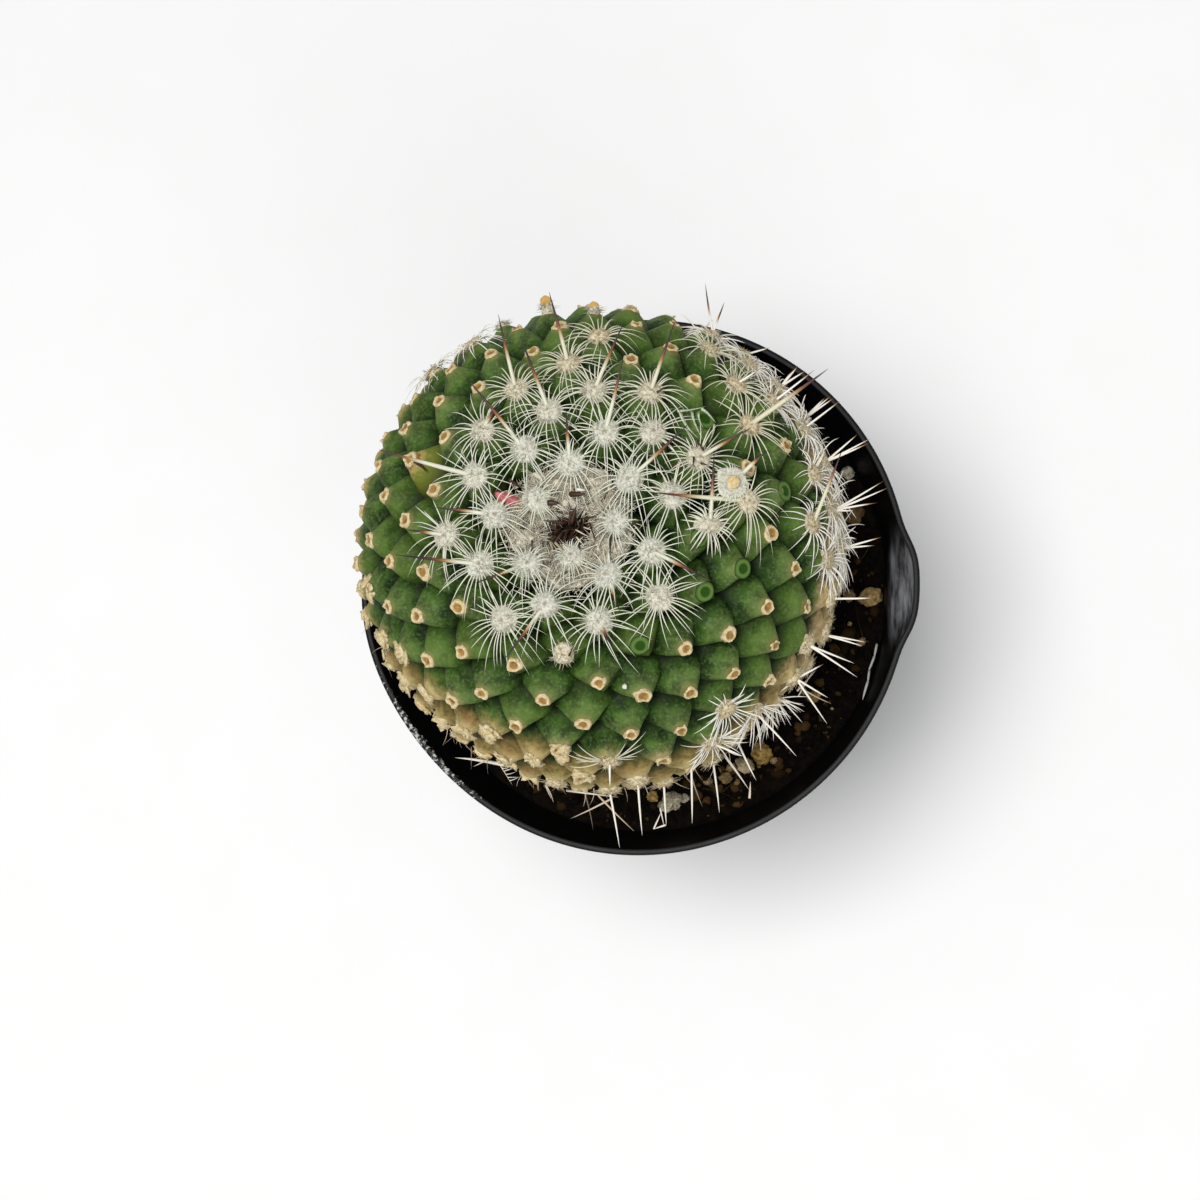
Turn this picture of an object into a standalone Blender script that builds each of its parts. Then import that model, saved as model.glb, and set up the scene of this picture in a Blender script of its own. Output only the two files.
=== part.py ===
"""A globular mammillaria cactus in a small round nursery pot.

Metres, +Z up. The origin is the centre of the pot's base, and the pot stands on Z = 0.
The plant stands a little off the pot's axis, leans over the rim and has its root in the soil.
"""

import math
import random

import bmesh
import bpy
from mathutils import Matrix, Vector, noise

MM = 0.001
CLEARANCE = 0.3 * MM
MERGE = 0.01 * MM
SEED = 7

# Pot: an injection-moulded black plastic pot, 8.5 cm across the rim
POT_HEIGHT = 75 * MM
RIM_RADIUS = 42.5 * MM
BASE_RADIUS = 29 * MM
WALL = 1.2 * MM
BASE_THICKNESS = 1.6 * MM
LIP_HEIGHT = 8 * MM
LIP_STEP = 1.0 * MM
LIP_ROUNDING = 0.4 * MM
HEEL_ROUNDING = 1.5 * MM
POT_SIDES = 48
DRAIN_HOLES = 6
DRAIN_RADIUS = 3.4 * MM
DRAIN_RING_RADIUS = 19 * MM
DRAIN_SIDES = 10

# Soil: a dark mix with grit, filled to below the rim
SOIL_DEPTH_BELOW_RIM = 9 * MM
SOIL_Z = POT_HEIGHT - SOIL_DEPTH_BELOW_RIM
SOIL_UNEVENNESS = 0.9 * MM
SOIL_LUMP_SIZE = 7 * MM
SOIL_SIDES = 36
SOIL_RINGS = 6
GRAIN_COUNT = 34
GRAIN_RADIUS = (0.7 * MM, 2.0 * MM)
GRAIN_SINK = 0.45
GRAIN_ROUGHNESS = (0.8, 1.0)

# Plant body: the surface on which the tips of the tubercles lie
PLANT_X = -3.45 * MM
PLANT_Y = 3.0 * MM
EQUATOR_RADIUS = 36.2 * MM
EQUATOR_Z = POT_HEIGHT + 18 * MM
CROWN_RISE = 26.3 * MM
SHOULDER = 0.85
CROWN_DIP = 5 * MM
CROWN_DIP_RADIUS = 9 * MM
NECK_TIP_RADIUS = 26 * MM
MERIDIAN_STEPS = 400
CORE_SIDES = 16
CORE_STATIONS = (0.0, 0.12, 0.25, 0.4, 0.55, 0.7, 0.85, 1.0, 1.2, 1.4, 1.6, 1.8)
ROOT_STOCK = ((19.0 * MM, 6 * MM), (12.0 * MM, 16 * MM), (6.0 * MM, 23 * MM))
ROOT_TIP_DEPTH = 27 * MM

# Tubercles: four-sided, set by the golden angle, each with the same share of the surface
GOLDEN_TURN = math.radians(137.52)
FIRST_TURN = math.radians(54.0)
TUBERCLE_SHARE = 45.9 * MM * MM
SPIRAL_START = 0.4
TUBERCLE_HEIGHT = 5.5 * MM
TUBERCLE_SINK = 2.0 * MM
TUBERCLE_BASE = 6.3 * MM
TUBERCLE_TIP = 1.5 * MM
TUBERCLE_LEAN = math.radians(20)
LOWEST_TUBERCLE_Z = POT_HEIGHT - 2 * MM

# Spines: thin radials in a star round each areole, and stout centrals that point outward
SPINED_BELOW = 22
SPINED_OLDER = (23, 26, 29, 31, 34, 37, 39, 60, 63, 76, 89, 92, 95, 97, 99, 105, 110, 112, 113, 118)
SPINED_FLANK = (math.radians(-35), math.radians(64))
SPINED_FLANK_FROM = 0.84
SPINED_FLANK_TO = 1.3
SPINED_FOOT = (90, 116, 121, 124, 129, 132, 142, 145, 150, 158, 163, 171)
RADIALS_ABOVE = 6
RADIALS_BELOW = 4
RADIAL_LENGTH = 4.6 * MM
RADIAL_RADIUS = 0.22 * MM
RADIAL_LENGTHS = (0.85, 1.05)
RADIAL_RISE = math.radians(22)
RADIAL_JITTER = 0.15
RADIAL_RING = 0.6 * MM
CENTRAL_LENGTH = 11.5 * MM
CENTRAL_RADIUS = 0.42 * MM
CENTRAL_LENGTHS = (0.8, 1.1)
CENTRAL_RISE = (math.radians(14), math.radians(34))
CENTRAL_SPREAD = math.radians(16)
SPINE_SINK = 0.8 * MM
SPINE_SIDES = 3
CROWN_SPINES = 9
CROWN_SPINE_LENGTH = 5.0 * MM
CROWN_SPINE_TILT = (math.radians(15), math.radians(45))
CROWN_SPINE_JITTER = 0.3

# Flower bud: a pink tip that comes up between three tubercles of the crown
BUD_NEIGHBOURS = (2, 7, 15)
BUD_RADIUS = 1.3 * MM
BUD_LENGTH = 5.2 * MM
BUD_FOOT = 0.7
BUD_BELLY = 0.45
BUD_POINT = 0.25
BUD_SIDES = 8
BUD_SINK = 3.2 * MM
BUD_LEAN = math.radians(25)


def clear_scene():
    for item in list(bpy.data.objects):
        bpy.data.objects.remove(item, do_unlink=True)


def make_collection(name):
    collection = bpy.data.collections.new(name)
    bpy.context.scene.collection.children.link(collection)
    return collection


def make_material(name, colour, roughness):
    """A plain Principled finish; colour is linear RGB."""
    material = bpy.data.materials.new(name)
    material.use_nodes = True
    shader = material.node_tree.nodes["Principled BSDF"]
    shader.inputs["Base Color"].default_value = (*colour, 1.0)
    shader.inputs["Roughness"].default_value = roughness
    shader.inputs["Metallic"].default_value = 0.0
    return material


def mesh_object(name, bm, collection, material=None):
    """Turn a bmesh into an object of the collection."""
    mesh = bpy.data.meshes.new(name)
    bm.to_mesh(mesh)
    bm.free()
    item = bpy.data.objects.new(name, mesh)
    if material:
        mesh.materials.append(material)
    collection.objects.link(item)
    return item


def turned_object(name, profile, sides, collection, material=None):
    """Turn a profile of (radius, height) points round Z; it runs down its outer side."""
    bm = bmesh.new()
    points = [bm.verts.new((radius, 0.0, height)) for radius, height in profile]
    for start, end in zip(points, points[1:]):
        bm.edges.new((start, end))
    item = mesh_object(name, bm, collection, material)
    screw = item.modifiers.new("turn", "SCREW")
    screw.steps = sides
    screw.render_steps = sides
    screw.use_merge_vertices = True
    screw.merge_threshold = MERGE
    screw.use_smooth_shade = False
    return item


def hide_cutter(item):
    item.hide_render = True
    item.display_type = "WIRE"


def boolean(item, operation, operand, solver="EXACT"):
    """Add a Boolean with one object or with all objects of a collection."""
    modifier = item.modifiers.new(operation.lower(), "BOOLEAN")
    modifier.operation = operation
    modifier.solver = solver
    if isinstance(operand, bpy.types.Collection):
        modifier.operand_type = "COLLECTION"
        modifier.collection = operand
    else:
        modifier.object = operand
    return modifier


def apply_modifiers(item):
    """Replace the object's mesh with what its modifiers make of it."""
    evaluated = item.evaluated_get(bpy.context.evaluated_depsgraph_get())
    mesh = bpy.data.meshes.new_from_object(evaluated)
    item.modifiers.clear()
    item.data = mesh


def keep_largest_shell(item):
    """Fill the hollows that fusing seals and drop loose scraps: only the outer skin stays."""
    bm = bmesh.new()
    bm.from_mesh(item.data)
    unseen = set(bm.faces)
    largest = []
    while unseen:
        shell = [unseen.pop()]
        for face in shell:
            for edge in face.edges:
                fresh = unseen.intersection(edge.link_faces)
                unseen -= fresh
                shell.extend(fresh)
        if len(shell) > len(largest):
            largest = shell
    kept = set(largest)
    loose = [face for face in bm.faces if face not in kept]
    bmesh.ops.delete(bm, geom=loose, context="FACES")
    bm.to_mesh(item.data)
    bm.free()


def remove_collection(collection):
    for item in list(collection.objects):
        bpy.data.objects.remove(item, do_unlink=True)
    bpy.data.collections.remove(collection)


def wall_radius(height):
    """Outer radius of the pot's wall, under the lip, at a height."""
    top = RIM_RADIUS - LIP_STEP
    return BASE_RADIUS + (top - BASE_RADIUS) * height / POT_HEIGHT


def build_pot(parts, cutters, material):
    """One moulded shell: flat base with drain holes, tapered wall, lip with a small step."""
    lip_foot = POT_HEIGHT - LIP_HEIGHT
    profile = [
        (0.0, BASE_THICKNESS),
        (wall_radius(BASE_THICKNESS) - WALL - HEEL_ROUNDING, BASE_THICKNESS),
        (wall_radius(BASE_THICKNESS) - WALL, BASE_THICKNESS + HEEL_ROUNDING),
        (wall_radius(lip_foot) - WALL, lip_foot),
        (RIM_RADIUS - WALL, POT_HEIGHT - LIP_ROUNDING),
        (RIM_RADIUS - WALL + LIP_ROUNDING, POT_HEIGHT),
        (RIM_RADIUS - LIP_ROUNDING, POT_HEIGHT),
        (RIM_RADIUS, POT_HEIGHT - LIP_ROUNDING),
        (wall_radius(lip_foot) + LIP_STEP, lip_foot),
        (wall_radius(lip_foot), lip_foot - LIP_STEP),
        (wall_radius(HEEL_ROUNDING), HEEL_ROUNDING),
        (wall_radius(0.0) - HEEL_ROUNDING, 0.0),
        (0.0, 0.0),
    ]
    pot = turned_object("pot", profile, POT_SIDES, parts, material)
    bm = bmesh.new()
    for index in range(DRAIN_HOLES):
        angle = 2 * math.pi * index / DRAIN_HOLES
        centre = Vector((math.cos(angle), math.sin(angle), 0.0)) * DRAIN_RING_RADIUS
        bmesh.ops.create_cone(
            bm, cap_ends=True, segments=DRAIN_SIDES, radius1=DRAIN_RADIUS,
            radius2=DRAIN_RADIUS, depth=4 * BASE_THICKNESS, matrix=Matrix.Translation(centre),
        )
    holes = mesh_object("drain_cutter", bm, cutters)
    hide_cutter(holes)
    boolean(pot, "DIFFERENCE", holes)
    return pot


def root_profile(top, gap):
    """Neck and root stock, from a height above the soil to the root's tip, grown by a gap."""
    neck = NECK_TIP_RADIUS - TUBERCLE_HEIGHT
    profile = [(neck + gap, top), (neck + gap, SOIL_Z)]
    profile += [(radius + gap, SOIL_Z - depth) for radius, depth in ROOT_STOCK]
    profile.append((0.0, SOIL_Z - ROOT_TIP_DEPTH - gap))
    return profile


def build_soil(parts, cutters, material):
    """The fill of the pot: an uneven top with grains in it, and a hole for the root."""
    bottom = BASE_THICKNESS + CLEARANCE
    low = bottom + HEEL_ROUNDING
    inner_low = wall_radius(low) - WALL - CLEARANCE
    inner_top = wall_radius(SOIL_Z) - WALL - CLEARANCE
    rings = [inner_top * index / SOIL_RINGS for index in range(SOIL_RINGS + 1)]
    profile = [(radius, SOIL_Z) for radius in rings]
    profile += [(inner_low, low), (inner_low - HEEL_ROUNDING, bottom), (0.0, bottom)]
    soil = turned_object("soil", profile, SOIL_SIDES, parts, material)
    apply_modifiers(soil)
    for vertex in soil.data.vertices:
        inside = math.hypot(vertex.co.x, vertex.co.y) < inner_top - CLEARANCE
        if inside and abs(vertex.co.z - SOIL_Z) < CLEARANCE:
            vertex.co.z += SOIL_UNEVENNESS * noise.noise(vertex.co / SOIL_LUMP_SIZE)

    grains = make_collection("soil_grains")
    chance = random.Random(SEED)
    inner_edge = NECK_TIP_RADIUS + GRAIN_RADIUS[1]
    for index in range(GRAIN_COUNT):
        size = GRAIN_RADIUS[0] + (GRAIN_RADIUS[1] - GRAIN_RADIUS[0]) * chance.random() ** 2
        outer_edge = inner_top - size - 2 * CLEARANCE
        while True:
            angle = chance.uniform(0, 2 * math.pi)
            reach = math.sqrt(chance.uniform(inner_edge ** 2, outer_edge ** 2))
            spot = Vector((reach * math.cos(angle), reach * math.sin(angle), SOIL_Z))
            from_plant = math.hypot(spot.x - PLANT_X, spot.y - PLANT_Y)
            if from_plant > inner_edge:
                break
        spot.z += size * (1 - 2 * GRAIN_SINK) - SOIL_UNEVENNESS / 2
        bm = bmesh.new()
        bmesh.ops.create_icosphere(bm, subdivisions=1, radius=size)
        for vertex in bm.verts:
            vertex.co *= chance.uniform(*GRAIN_ROUGHNESS)
        turn = Matrix.Rotation(chance.uniform(0, math.pi), 4, Vector((1, index % 2, 1)))
        bmesh.ops.transform(bm, matrix=Matrix.Translation(spot) @ turn, verts=bm.verts)
        mesh_object(f"grain_{index}", bm, grains)
    boolean(soil, "UNION", grains, "MANIFOLD")
    apply_modifiers(soil)
    remove_collection(grains)

    cutter = turned_object(
        "root_cutter", [(0.0, POT_HEIGHT)] + root_profile(POT_HEIGHT, CLEARANCE),
        CORE_SIDES, cutters,
    )
    cutter.location = (PLANT_X, PLANT_Y, 0.0)
    hide_cutter(cutter)
    boolean(soil, "DIFFERENCE", cutter)
    return soil


def tip_surface(along):
    """Radius and height of the tips: 0 is the crown, 1 the equator and 2 the soil."""
    if along <= 1:
        angle = along * math.pi / 2
        radius = EQUATOR_RADIUS * math.sin(angle) ** SHOULDER
        dip = CROWN_DIP * math.exp(-(radius / CROWN_DIP_RADIUS) ** 2)
        return radius, EQUATOR_Z + CROWN_RISE * math.cos(angle) - dip
    drop = along - 1
    radius = EQUATOR_RADIUS - (EQUATOR_RADIUS - NECK_TIP_RADIUS) * drop ** 2
    return radius, EQUATOR_Z - (EQUATOR_Z - SOIL_Z) * drop


def slope_at(along):
    """Outward normal of the tip surface as (radial, upward)."""
    step = 1.0 / MERIDIAN_STEPS
    low = max(0.0, along - step)
    high = along + step
    radius_step = tip_surface(high)[0] - tip_surface(low)[0]
    height_step = tip_surface(high)[1] - tip_surface(low)[1]
    length = math.hypot(radius_step, height_step)
    return -height_step / length, radius_step / length


def spiral():
    """Each tubercle's index, place along the meridian and turn, down to the pot's rim."""
    places = []
    area = 0.0
    last = tip_surface(0.0)
    for step in range(1, 2 * MERIDIAN_STEPS + 1):
        along = step / MERIDIAN_STEPS
        here = tip_surface(along)
        band = math.pi * (here[0] + last[0]) * math.hypot(here[0] - last[0], here[1] - last[1])
        while (len(places) + SPIRAL_START) * TUBERCLE_SHARE < area + band:
            part = ((len(places) + SPIRAL_START) * TUBERCLE_SHARE - area) / band
            spot = along - (1 - part) / MERIDIAN_STEPS
            if tip_surface(spot)[1] < LOWEST_TUBERCLE_Z:
                return places
            turn = FIRST_TURN - GOLDEN_TURN * len(places)
            places.append((len(places), spot, turn))
        area += band
        last = here
    return places


def areole_frame(along, turn):
    """Tip point, and the tubercle's axes: sideways, towards the crown, and outward."""
    radius, height = tip_surface(along)
    radial, upward = slope_at(along)
    outward = Vector((math.cos(turn), math.sin(turn), 0.0))
    sideways = Vector((-math.sin(turn), math.cos(turn), 0.0))
    lean = TUBERCLE_LEAN * min(1.0, along)
    angle = math.atan2(upward, radial) - lean
    axis = outward * math.cos(angle) + Vector((0, 0, math.sin(angle)))
    crownward = axis.cross(sideways)
    tip = outward * radius + Vector((PLANT_X, PLANT_Y, height))
    return tip, sideways, crownward, axis


def frame_matrix(origin, x_axis, y_axis, z_axis):
    matrix = Matrix((x_axis, y_axis, z_axis)).transposed().to_4x4()
    matrix.translation = origin
    return matrix


def is_spined(index, along, turn):
    """Young tubercles, some older ones and the flank over the soil keep their spines."""
    if index < SPINED_BELOW or index in SPINED_OLDER or index in SPINED_FOOT:
        return True
    bearing = math.remainder(turn, 2 * math.pi)
    on_flank = SPINED_FLANK[0] < bearing < SPINED_FLANK[1]
    return on_flank and SPINED_FLANK_FROM < along < SPINED_FLANK_TO


def add_tubercle(index, frame, collection):
    tip, sideways, crownward, axis = frame
    length = TUBERCLE_HEIGHT + TUBERCLE_SINK
    bm = bmesh.new()
    bmesh.ops.create_cone(
        bm, cap_ends=True, segments=4, radius1=TUBERCLE_BASE, radius2=TUBERCLE_TIP, depth=length,
        matrix=frame_matrix(tip - axis * length / 2, sideways, crownward, axis),
    )
    return mesh_object(f"tubercle_{index}", bm, collection)


def add_spine(name, root, direction, length, radius, collection):
    """A three-sided needle whose root is sunk behind the point it grows from."""
    total = length + SPINE_SINK
    turn = Vector((0, 0, 1)).rotation_difference(direction).to_matrix().to_4x4()
    centre = root + direction * (total / 2 - SPINE_SINK)
    bm = bmesh.new()
    bmesh.ops.create_cone(
        bm, cap_ends=True, segments=SPINE_SIDES, radius1=radius, radius2=0.0, depth=total,
        matrix=Matrix.Translation(centre) @ turn,
    )
    return mesh_object(name, bm, collection)


def add_spines(index, along, turn, frame, chance, collection):
    """The star of radials and the centrals of one areole."""
    tip, sideways, crownward, axis = frame
    first = chance.uniform(0, 2 * math.pi)
    radials = RADIALS_BELOW if along > SPINED_FLANK_FROM else RADIALS_ABOVE
    for number in range(radials):
        jitter = chance.uniform(-RADIAL_JITTER, RADIAL_JITTER)
        angle = first + 2 * math.pi * (number + jitter) / radials
        spread = sideways * math.cos(angle) + crownward * math.sin(angle)
        direction = spread * math.cos(RADIAL_RISE) + axis * math.sin(RADIAL_RISE)
        root = tip + spread * RADIAL_RING
        length = RADIAL_LENGTH * chance.uniform(*RADIAL_LENGTHS)
        add_spine(f"radial_{index}_{number}", root, direction, length, RADIAL_RADIUS, collection)
    centrals = 2 if along > SPINED_FLANK_FROM and index % 2 else 1
    for number in range(centrals):
        bearing = turn + CENTRAL_SPREAD * (number + chance.uniform(-1, 1) - (centrals - 1) / 2)
        rise = chance.uniform(*CENTRAL_RISE)
        direction = Vector((math.cos(bearing), math.sin(bearing), 0)) * math.cos(rise)
        direction.z = math.sin(rise)
        length = CENTRAL_LENGTH * chance.uniform(*CENTRAL_LENGTHS)
        add_spine(f"central_{index}_{number}", tip, direction, length, CENTRAL_RADIUS, collection)


def core_profile():
    """The body under the tubercles, from the crown to the tip of the root."""
    profile = []
    for along in CORE_STATIONS:
        radius, height = tip_surface(along)
        radial, upward = slope_at(along)
        inner = max(0.0, radius - TUBERCLE_HEIGHT * radial) if along else 0.0
        profile.append((inner, height - TUBERCLE_HEIGHT * upward))
    return profile + root_profile(SOIL_Z + CLEARANCE, 0.0)[1:]


def build_cactus(parts, cutters, material):
    """The whole plant as one grown body: core and root, tubercles, areoles and spines."""
    cactus = turned_object("cactus", core_profile(), CORE_SIDES, parts, material)
    cactus.location = (PLANT_X, PLANT_Y, 0.0)
    repeats = make_collection("cactus_repeats")
    chance = random.Random(SEED)
    frames = {}
    for index, along, turn in spiral():
        frame = areole_frame(along, turn)
        frames[index] = frame
        add_tubercle(index, frame, repeats)
        if is_spined(index, along, turn):
            add_spines(index, along, turn, frame, chance, repeats)
    crown = Vector((PLANT_X, PLANT_Y, tip_surface(0.0)[1] - TUBERCLE_HEIGHT / 2))
    for number in range(CROWN_SPINES):
        jitter = chance.uniform(-CROWN_SPINE_JITTER, CROWN_SPINE_JITTER)
        bearing = 2 * math.pi * (number + jitter) / CROWN_SPINES
        tilt = chance.uniform(*CROWN_SPINE_TILT)
        direction = Vector((math.cos(bearing), math.sin(bearing), 0)) * math.sin(tilt)
        direction.z = math.cos(tilt)
        length = CROWN_SPINE_LENGTH * chance.uniform(*CENTRAL_LENGTHS) + TUBERCLE_HEIGHT / 2
        add_spine(f"young_{number}", crown, direction, length, CENTRAL_RADIUS, repeats)
    boolean(cactus, "UNION", repeats, "MANIFOLD")
    apply_modifiers(cactus)
    remove_collection(repeats)
    keep_largest_shell(cactus)
    return cactus, frames


def bud_matrix(frames):
    """The bud stands between its three tubercles and leans away from the crown."""
    tips = [frames[index][0] for index in BUD_NEIGHBOURS]
    middle = sum(tips, Vector()) / len(tips)
    outward = Vector((middle.x - PLANT_X, middle.y - PLANT_Y, 0.0)).normalized()
    axis = outward * math.sin(BUD_LEAN) + Vector((0, 0, math.cos(BUD_LEAN)))
    turn = Vector((0, 0, 1)).rotation_difference(axis).to_matrix().to_4x4()
    foot = middle - axis * BUD_SINK
    return Matrix.Translation(foot) @ turn


def bud_shape(grow):
    """A pointed bud with its foot at the origin, made larger all round by a gap."""
    bm = bmesh.new()
    belly = BUD_LENGTH * BUD_BELLY
    bmesh.ops.create_cone(
        bm, cap_ends=True, segments=BUD_SIDES, radius1=BUD_RADIUS * BUD_FOOT + grow,
        radius2=BUD_RADIUS + grow, depth=belly + grow,
        matrix=Matrix.Translation((0, 0, (belly - grow) / 2)),
    )
    top = [face for face in bm.faces if face.normal.z > 0.5]
    point = bmesh.ops.extrude_discrete_faces(bm, faces=top)["faces"][0]
    for vertex in point.verts:
        vertex.co.x *= BUD_POINT
        vertex.co.y *= BUD_POINT
        vertex.co.z = BUD_LENGTH + grow
    return bm


def build_bud(parts, cutters, material, cactus, frames):
    """The pink tip of a flower bud, in a socket of the crown that clears it."""
    place = bud_matrix(frames)
    bud = mesh_object("flower_bud", bud_shape(0.0), parts, material)
    bud.matrix_world = place
    socket = mesh_object("bud_cutter", bud_shape(CLEARANCE), cutters)
    socket.matrix_world = place
    hide_cutter(socket)
    boolean(cactus, "DIFFERENCE", socket, "MANIFOLD")
    apply_modifiers(cactus)
    keep_largest_shell(cactus)
    return bud


def build():
    clear_scene()
    parts = make_collection("potted_mammillaria")
    cutters = make_collection("cutters")
    black_plastic = make_material("black_plastic", (0.012, 0.012, 0.013), 0.45)
    dark_mix = make_material("dark_potting_mix", (0.020, 0.012, 0.008), 0.95)
    green_skin = make_material("green_skin", (0.06, 0.14, 0.045), 0.6)
    pink_petal = make_material("pink_petal", (0.62, 0.13, 0.18), 0.5)
    build_pot(parts, cutters, black_plastic)
    build_soil(parts, cutters, dark_mix)
    cactus, frames = build_cactus(parts, cutters, green_skin)
    build_bud(parts, cutters, pink_petal, cactus, frames)


build()
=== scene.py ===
"""The finished looks of a spiny ball cactus in its thin black nursery pot."""
import math
import random
from collections import namedtuple

import bmesh
import bpy
from mathutils import Matrix, Vector, noise


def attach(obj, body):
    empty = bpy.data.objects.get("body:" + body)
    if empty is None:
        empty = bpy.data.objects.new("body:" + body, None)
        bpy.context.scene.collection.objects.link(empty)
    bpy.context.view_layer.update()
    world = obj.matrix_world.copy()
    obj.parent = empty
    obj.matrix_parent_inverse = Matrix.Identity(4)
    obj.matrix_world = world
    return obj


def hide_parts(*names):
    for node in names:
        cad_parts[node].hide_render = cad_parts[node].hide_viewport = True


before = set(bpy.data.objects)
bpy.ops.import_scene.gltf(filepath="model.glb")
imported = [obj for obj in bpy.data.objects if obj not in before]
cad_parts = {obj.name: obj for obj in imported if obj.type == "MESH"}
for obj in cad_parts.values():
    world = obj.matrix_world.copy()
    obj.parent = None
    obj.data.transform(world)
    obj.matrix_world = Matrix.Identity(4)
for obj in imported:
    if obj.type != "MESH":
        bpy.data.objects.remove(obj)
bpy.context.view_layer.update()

MM = 0.001
MERGE = 0.001 * MM
SEED = 11
UP = Vector((0, 0, 1))

# The pot: sizes of the solid, with the finer outline of a thin moulded wall
POT_HEIGHT = 75 * MM
RIM_RADIUS = 42.5 * MM
BASE_RADIUS = 29 * MM
WALL = 1.2 * MM
LIP_WALL = 1.0 * MM
BASE_THICKNESS = 1.6 * MM
LIP_HEIGHT = 8 * MM
LIP_STEP = 1.0 * MM
EDGE = 0.25 * MM
HEEL = 1.5 * MM
POT_SIDES = 240
DRAIN_HOLES = 6
DRAIN_RADIUS = 3.4 * MM
DRAIN_RING = 19 * MM
DENTS = (  # bearing, half-width, depth and sharpness
    (math.radians(-2), math.radians(10.5), 1.55 * MM, 4),
    (math.radians(180), math.radians(29), 2.45 * MM, 2),
)
DENT_HEIGHT = 5 * MM
PINCH = 1.8 * MM
PINCH_START = (0.3 * MM, 3.5 * MM)
PINCH_END = (5 * MM, 9 * MM)
# Depths under the rim where the painted reflection inside the front dent fades out
SHEEN_END = (3.2 * MM, 4.4 * MM)
WORN_BEARING = math.radians(-143)
WORN_HEIGHT = 2 * MM
WEAR = 0.2

# The painted highlight along the fold in the wall: x, y and height over the soil in mm
FOLD = ((37.0, -9.4, 0.6), (36.6, -11.4, 1.2), (35.8, -13.6, 1.5), (35.6, -15.4, 2.6), (34.8, -17.9, 3.0))
FOLD_RADII = (0.16, 0.26)

# The soil
SOIL_Z = POT_HEIGHT - 9 * MM
SOIL_GAP = 0.3 * MM
SOIL_SIDES = 144
SOIL_RINGS = 48
SOIL_WAVES = ((7 * MM, 0.9 * MM), (2.2 * MM, 0.8 * MM), (0.8 * MM, 0.35 * MM))

# The plant: the surface that the tips of its tubercles lie on, as in the solid
PLANT = Vector((-3.45 * MM, 3.0 * MM, 0))
EQUATOR_RADIUS = 36.2 * MM
EQUATOR_Z = POT_HEIGHT + 18 * MM
CROWN_RISE = 26.3 * MM
SHOULDER = 0.85
CROWN_DIP = 5 * MM
CROWN_DIP_RADIUS = 9 * MM
NECK_TIP_RADIUS = 26 * MM
MERIDIAN_STEPS = 400
GOLDEN_TURN = math.radians(137.52)
FIRST_TURN = math.radians(54.0)
TUBERCLE_SHARE = 45.9 * MM * MM
SPIRAL_START = 0.4
TUBERCLE_HEIGHT = 5.5 * MM
TUBERCLE_LEAN = math.radians(20)
LOWEST_TUBERCLE_Z = SOIL_Z + 1 * MM
CORE_SIDES = 96
ROOT_STOCK = ((19, 6), (12, 16), (6, 23), (0, 27))

# The plant is a little flatter in two places: bearing, half-width and depth
FLATS = ((math.radians(-128), math.radians(34), 1.5 * MM), (math.radians(-46), math.radians(15), 1.2 * MM))
FLATS_ALONG = (0.45, 0.8)

# One tubercle: half-width and depth under its tip in mm, spun and then squeezed to a scale
TUBERCLE_OUTLINE = (
    (0, 0), (0.8, 0.03), (1.2, 0.22), (1.75, 0.7), (2.5, 1.4), (3.25, 2.2), (3.9, 3.0), (4.4, 3.9),
    (4.75, 5.0), (4.9, 6.2), (4.9, 7.2), (0, 7.6),
)
TUBERCLE_SIDES = 28
TUBERCLE_LENGTH = 7.6 * MM
TUBERCLE_WIDTHS = (0.94, 1.04)
TUBERCLE_SHEAR = 0.36
SQUEEZE_DEPTH = 1.4 * MM
CROWNWARD_FLATNESS = 0.62
CROWNWARD_ROUNDNESS = 1.5
SOILWARD_ROUNDNESS = 1.15
SWELL_SIZE = 2.4 * MM
SWELL = 0.3 * MM
CORK_SWELL = 0.85 * MM
TORN_LUCK = 1.5
APEX_SINK = 2 * MM

# Cork at the front, and on two sides: bearing, two cosines, start and end along the plant, and share
CORK_FRONT = math.radians(-112)
CORK_START = 0.87
CORK_LEAD = 0.44
CORK_SPREAD = 0.42
CORK_SIDES = (
    (math.radians(-5), 0.2, 0.7, 0.82, 0.98, 1.0), (math.radians(172), 0.3, 0.9, 0.62, 0.9, 0.5),
)
CORK_DEPTH = 1.2
CORK_CHANCE = (-0.06, 0.12)

# Which areoles keep their spines, by their place in the spiral
APEX = 0
SPINED_BELOW = 22
SPINED_OLDER = (23, 26, 29, 31, 34, 37, 39, 60, 63, 76, 89, 92, 95, 97, 99, 105, 110, 112, 113, 118)
SPINED_FOOT = (90, 116, 121, 124, 129, 132, 142, 145, 150, 158, 163, 171)
SPINED_FLANK = (math.radians(-35), math.radians(64))
SPINED_FLANK_ALONG = (0.84, 1.3)
BLEACHED_AND_LIGHTENED_ALONG = 0.7
PAPERY_BEARING = math.radians(-6)
HAIRY_FOOT = (129, 163)

# Areoles that look unlike the rest
FRESH_PITS = (24, 27, 32, 42, 45, 71)
SMALL_TUFT = 22
TORN = 49
LOOPED = 42
KNOBBED = 115
COMBED = 90
DARK_TIPPED = 123
LATE_DARKENED = 92
MOVED_TIPS = {37: Vector((2.2, 0.6, 0.3)) * MM}
STUBS = {94: 1.1, 107: 2.0, 120: 0.9}

# A shed cushion and a loose tuft: where they lie from the tip of a tubercle, in mm
SHED_NEAR = 37
SHED_CUSHION = 300
LOOSE_TUFT = 301
SHED_PLACES = {SHED_CUSHION: Vector((-1.9, 2.4, 1.7)), LOOSE_TUFT: Vector((-5.1, -3.4, 1.6))}

ODD_AGES = {SMALL_TUFT: 0.6, SHED_CUSHION: 0.1, LOOSE_TUFT: 0.4}

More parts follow.
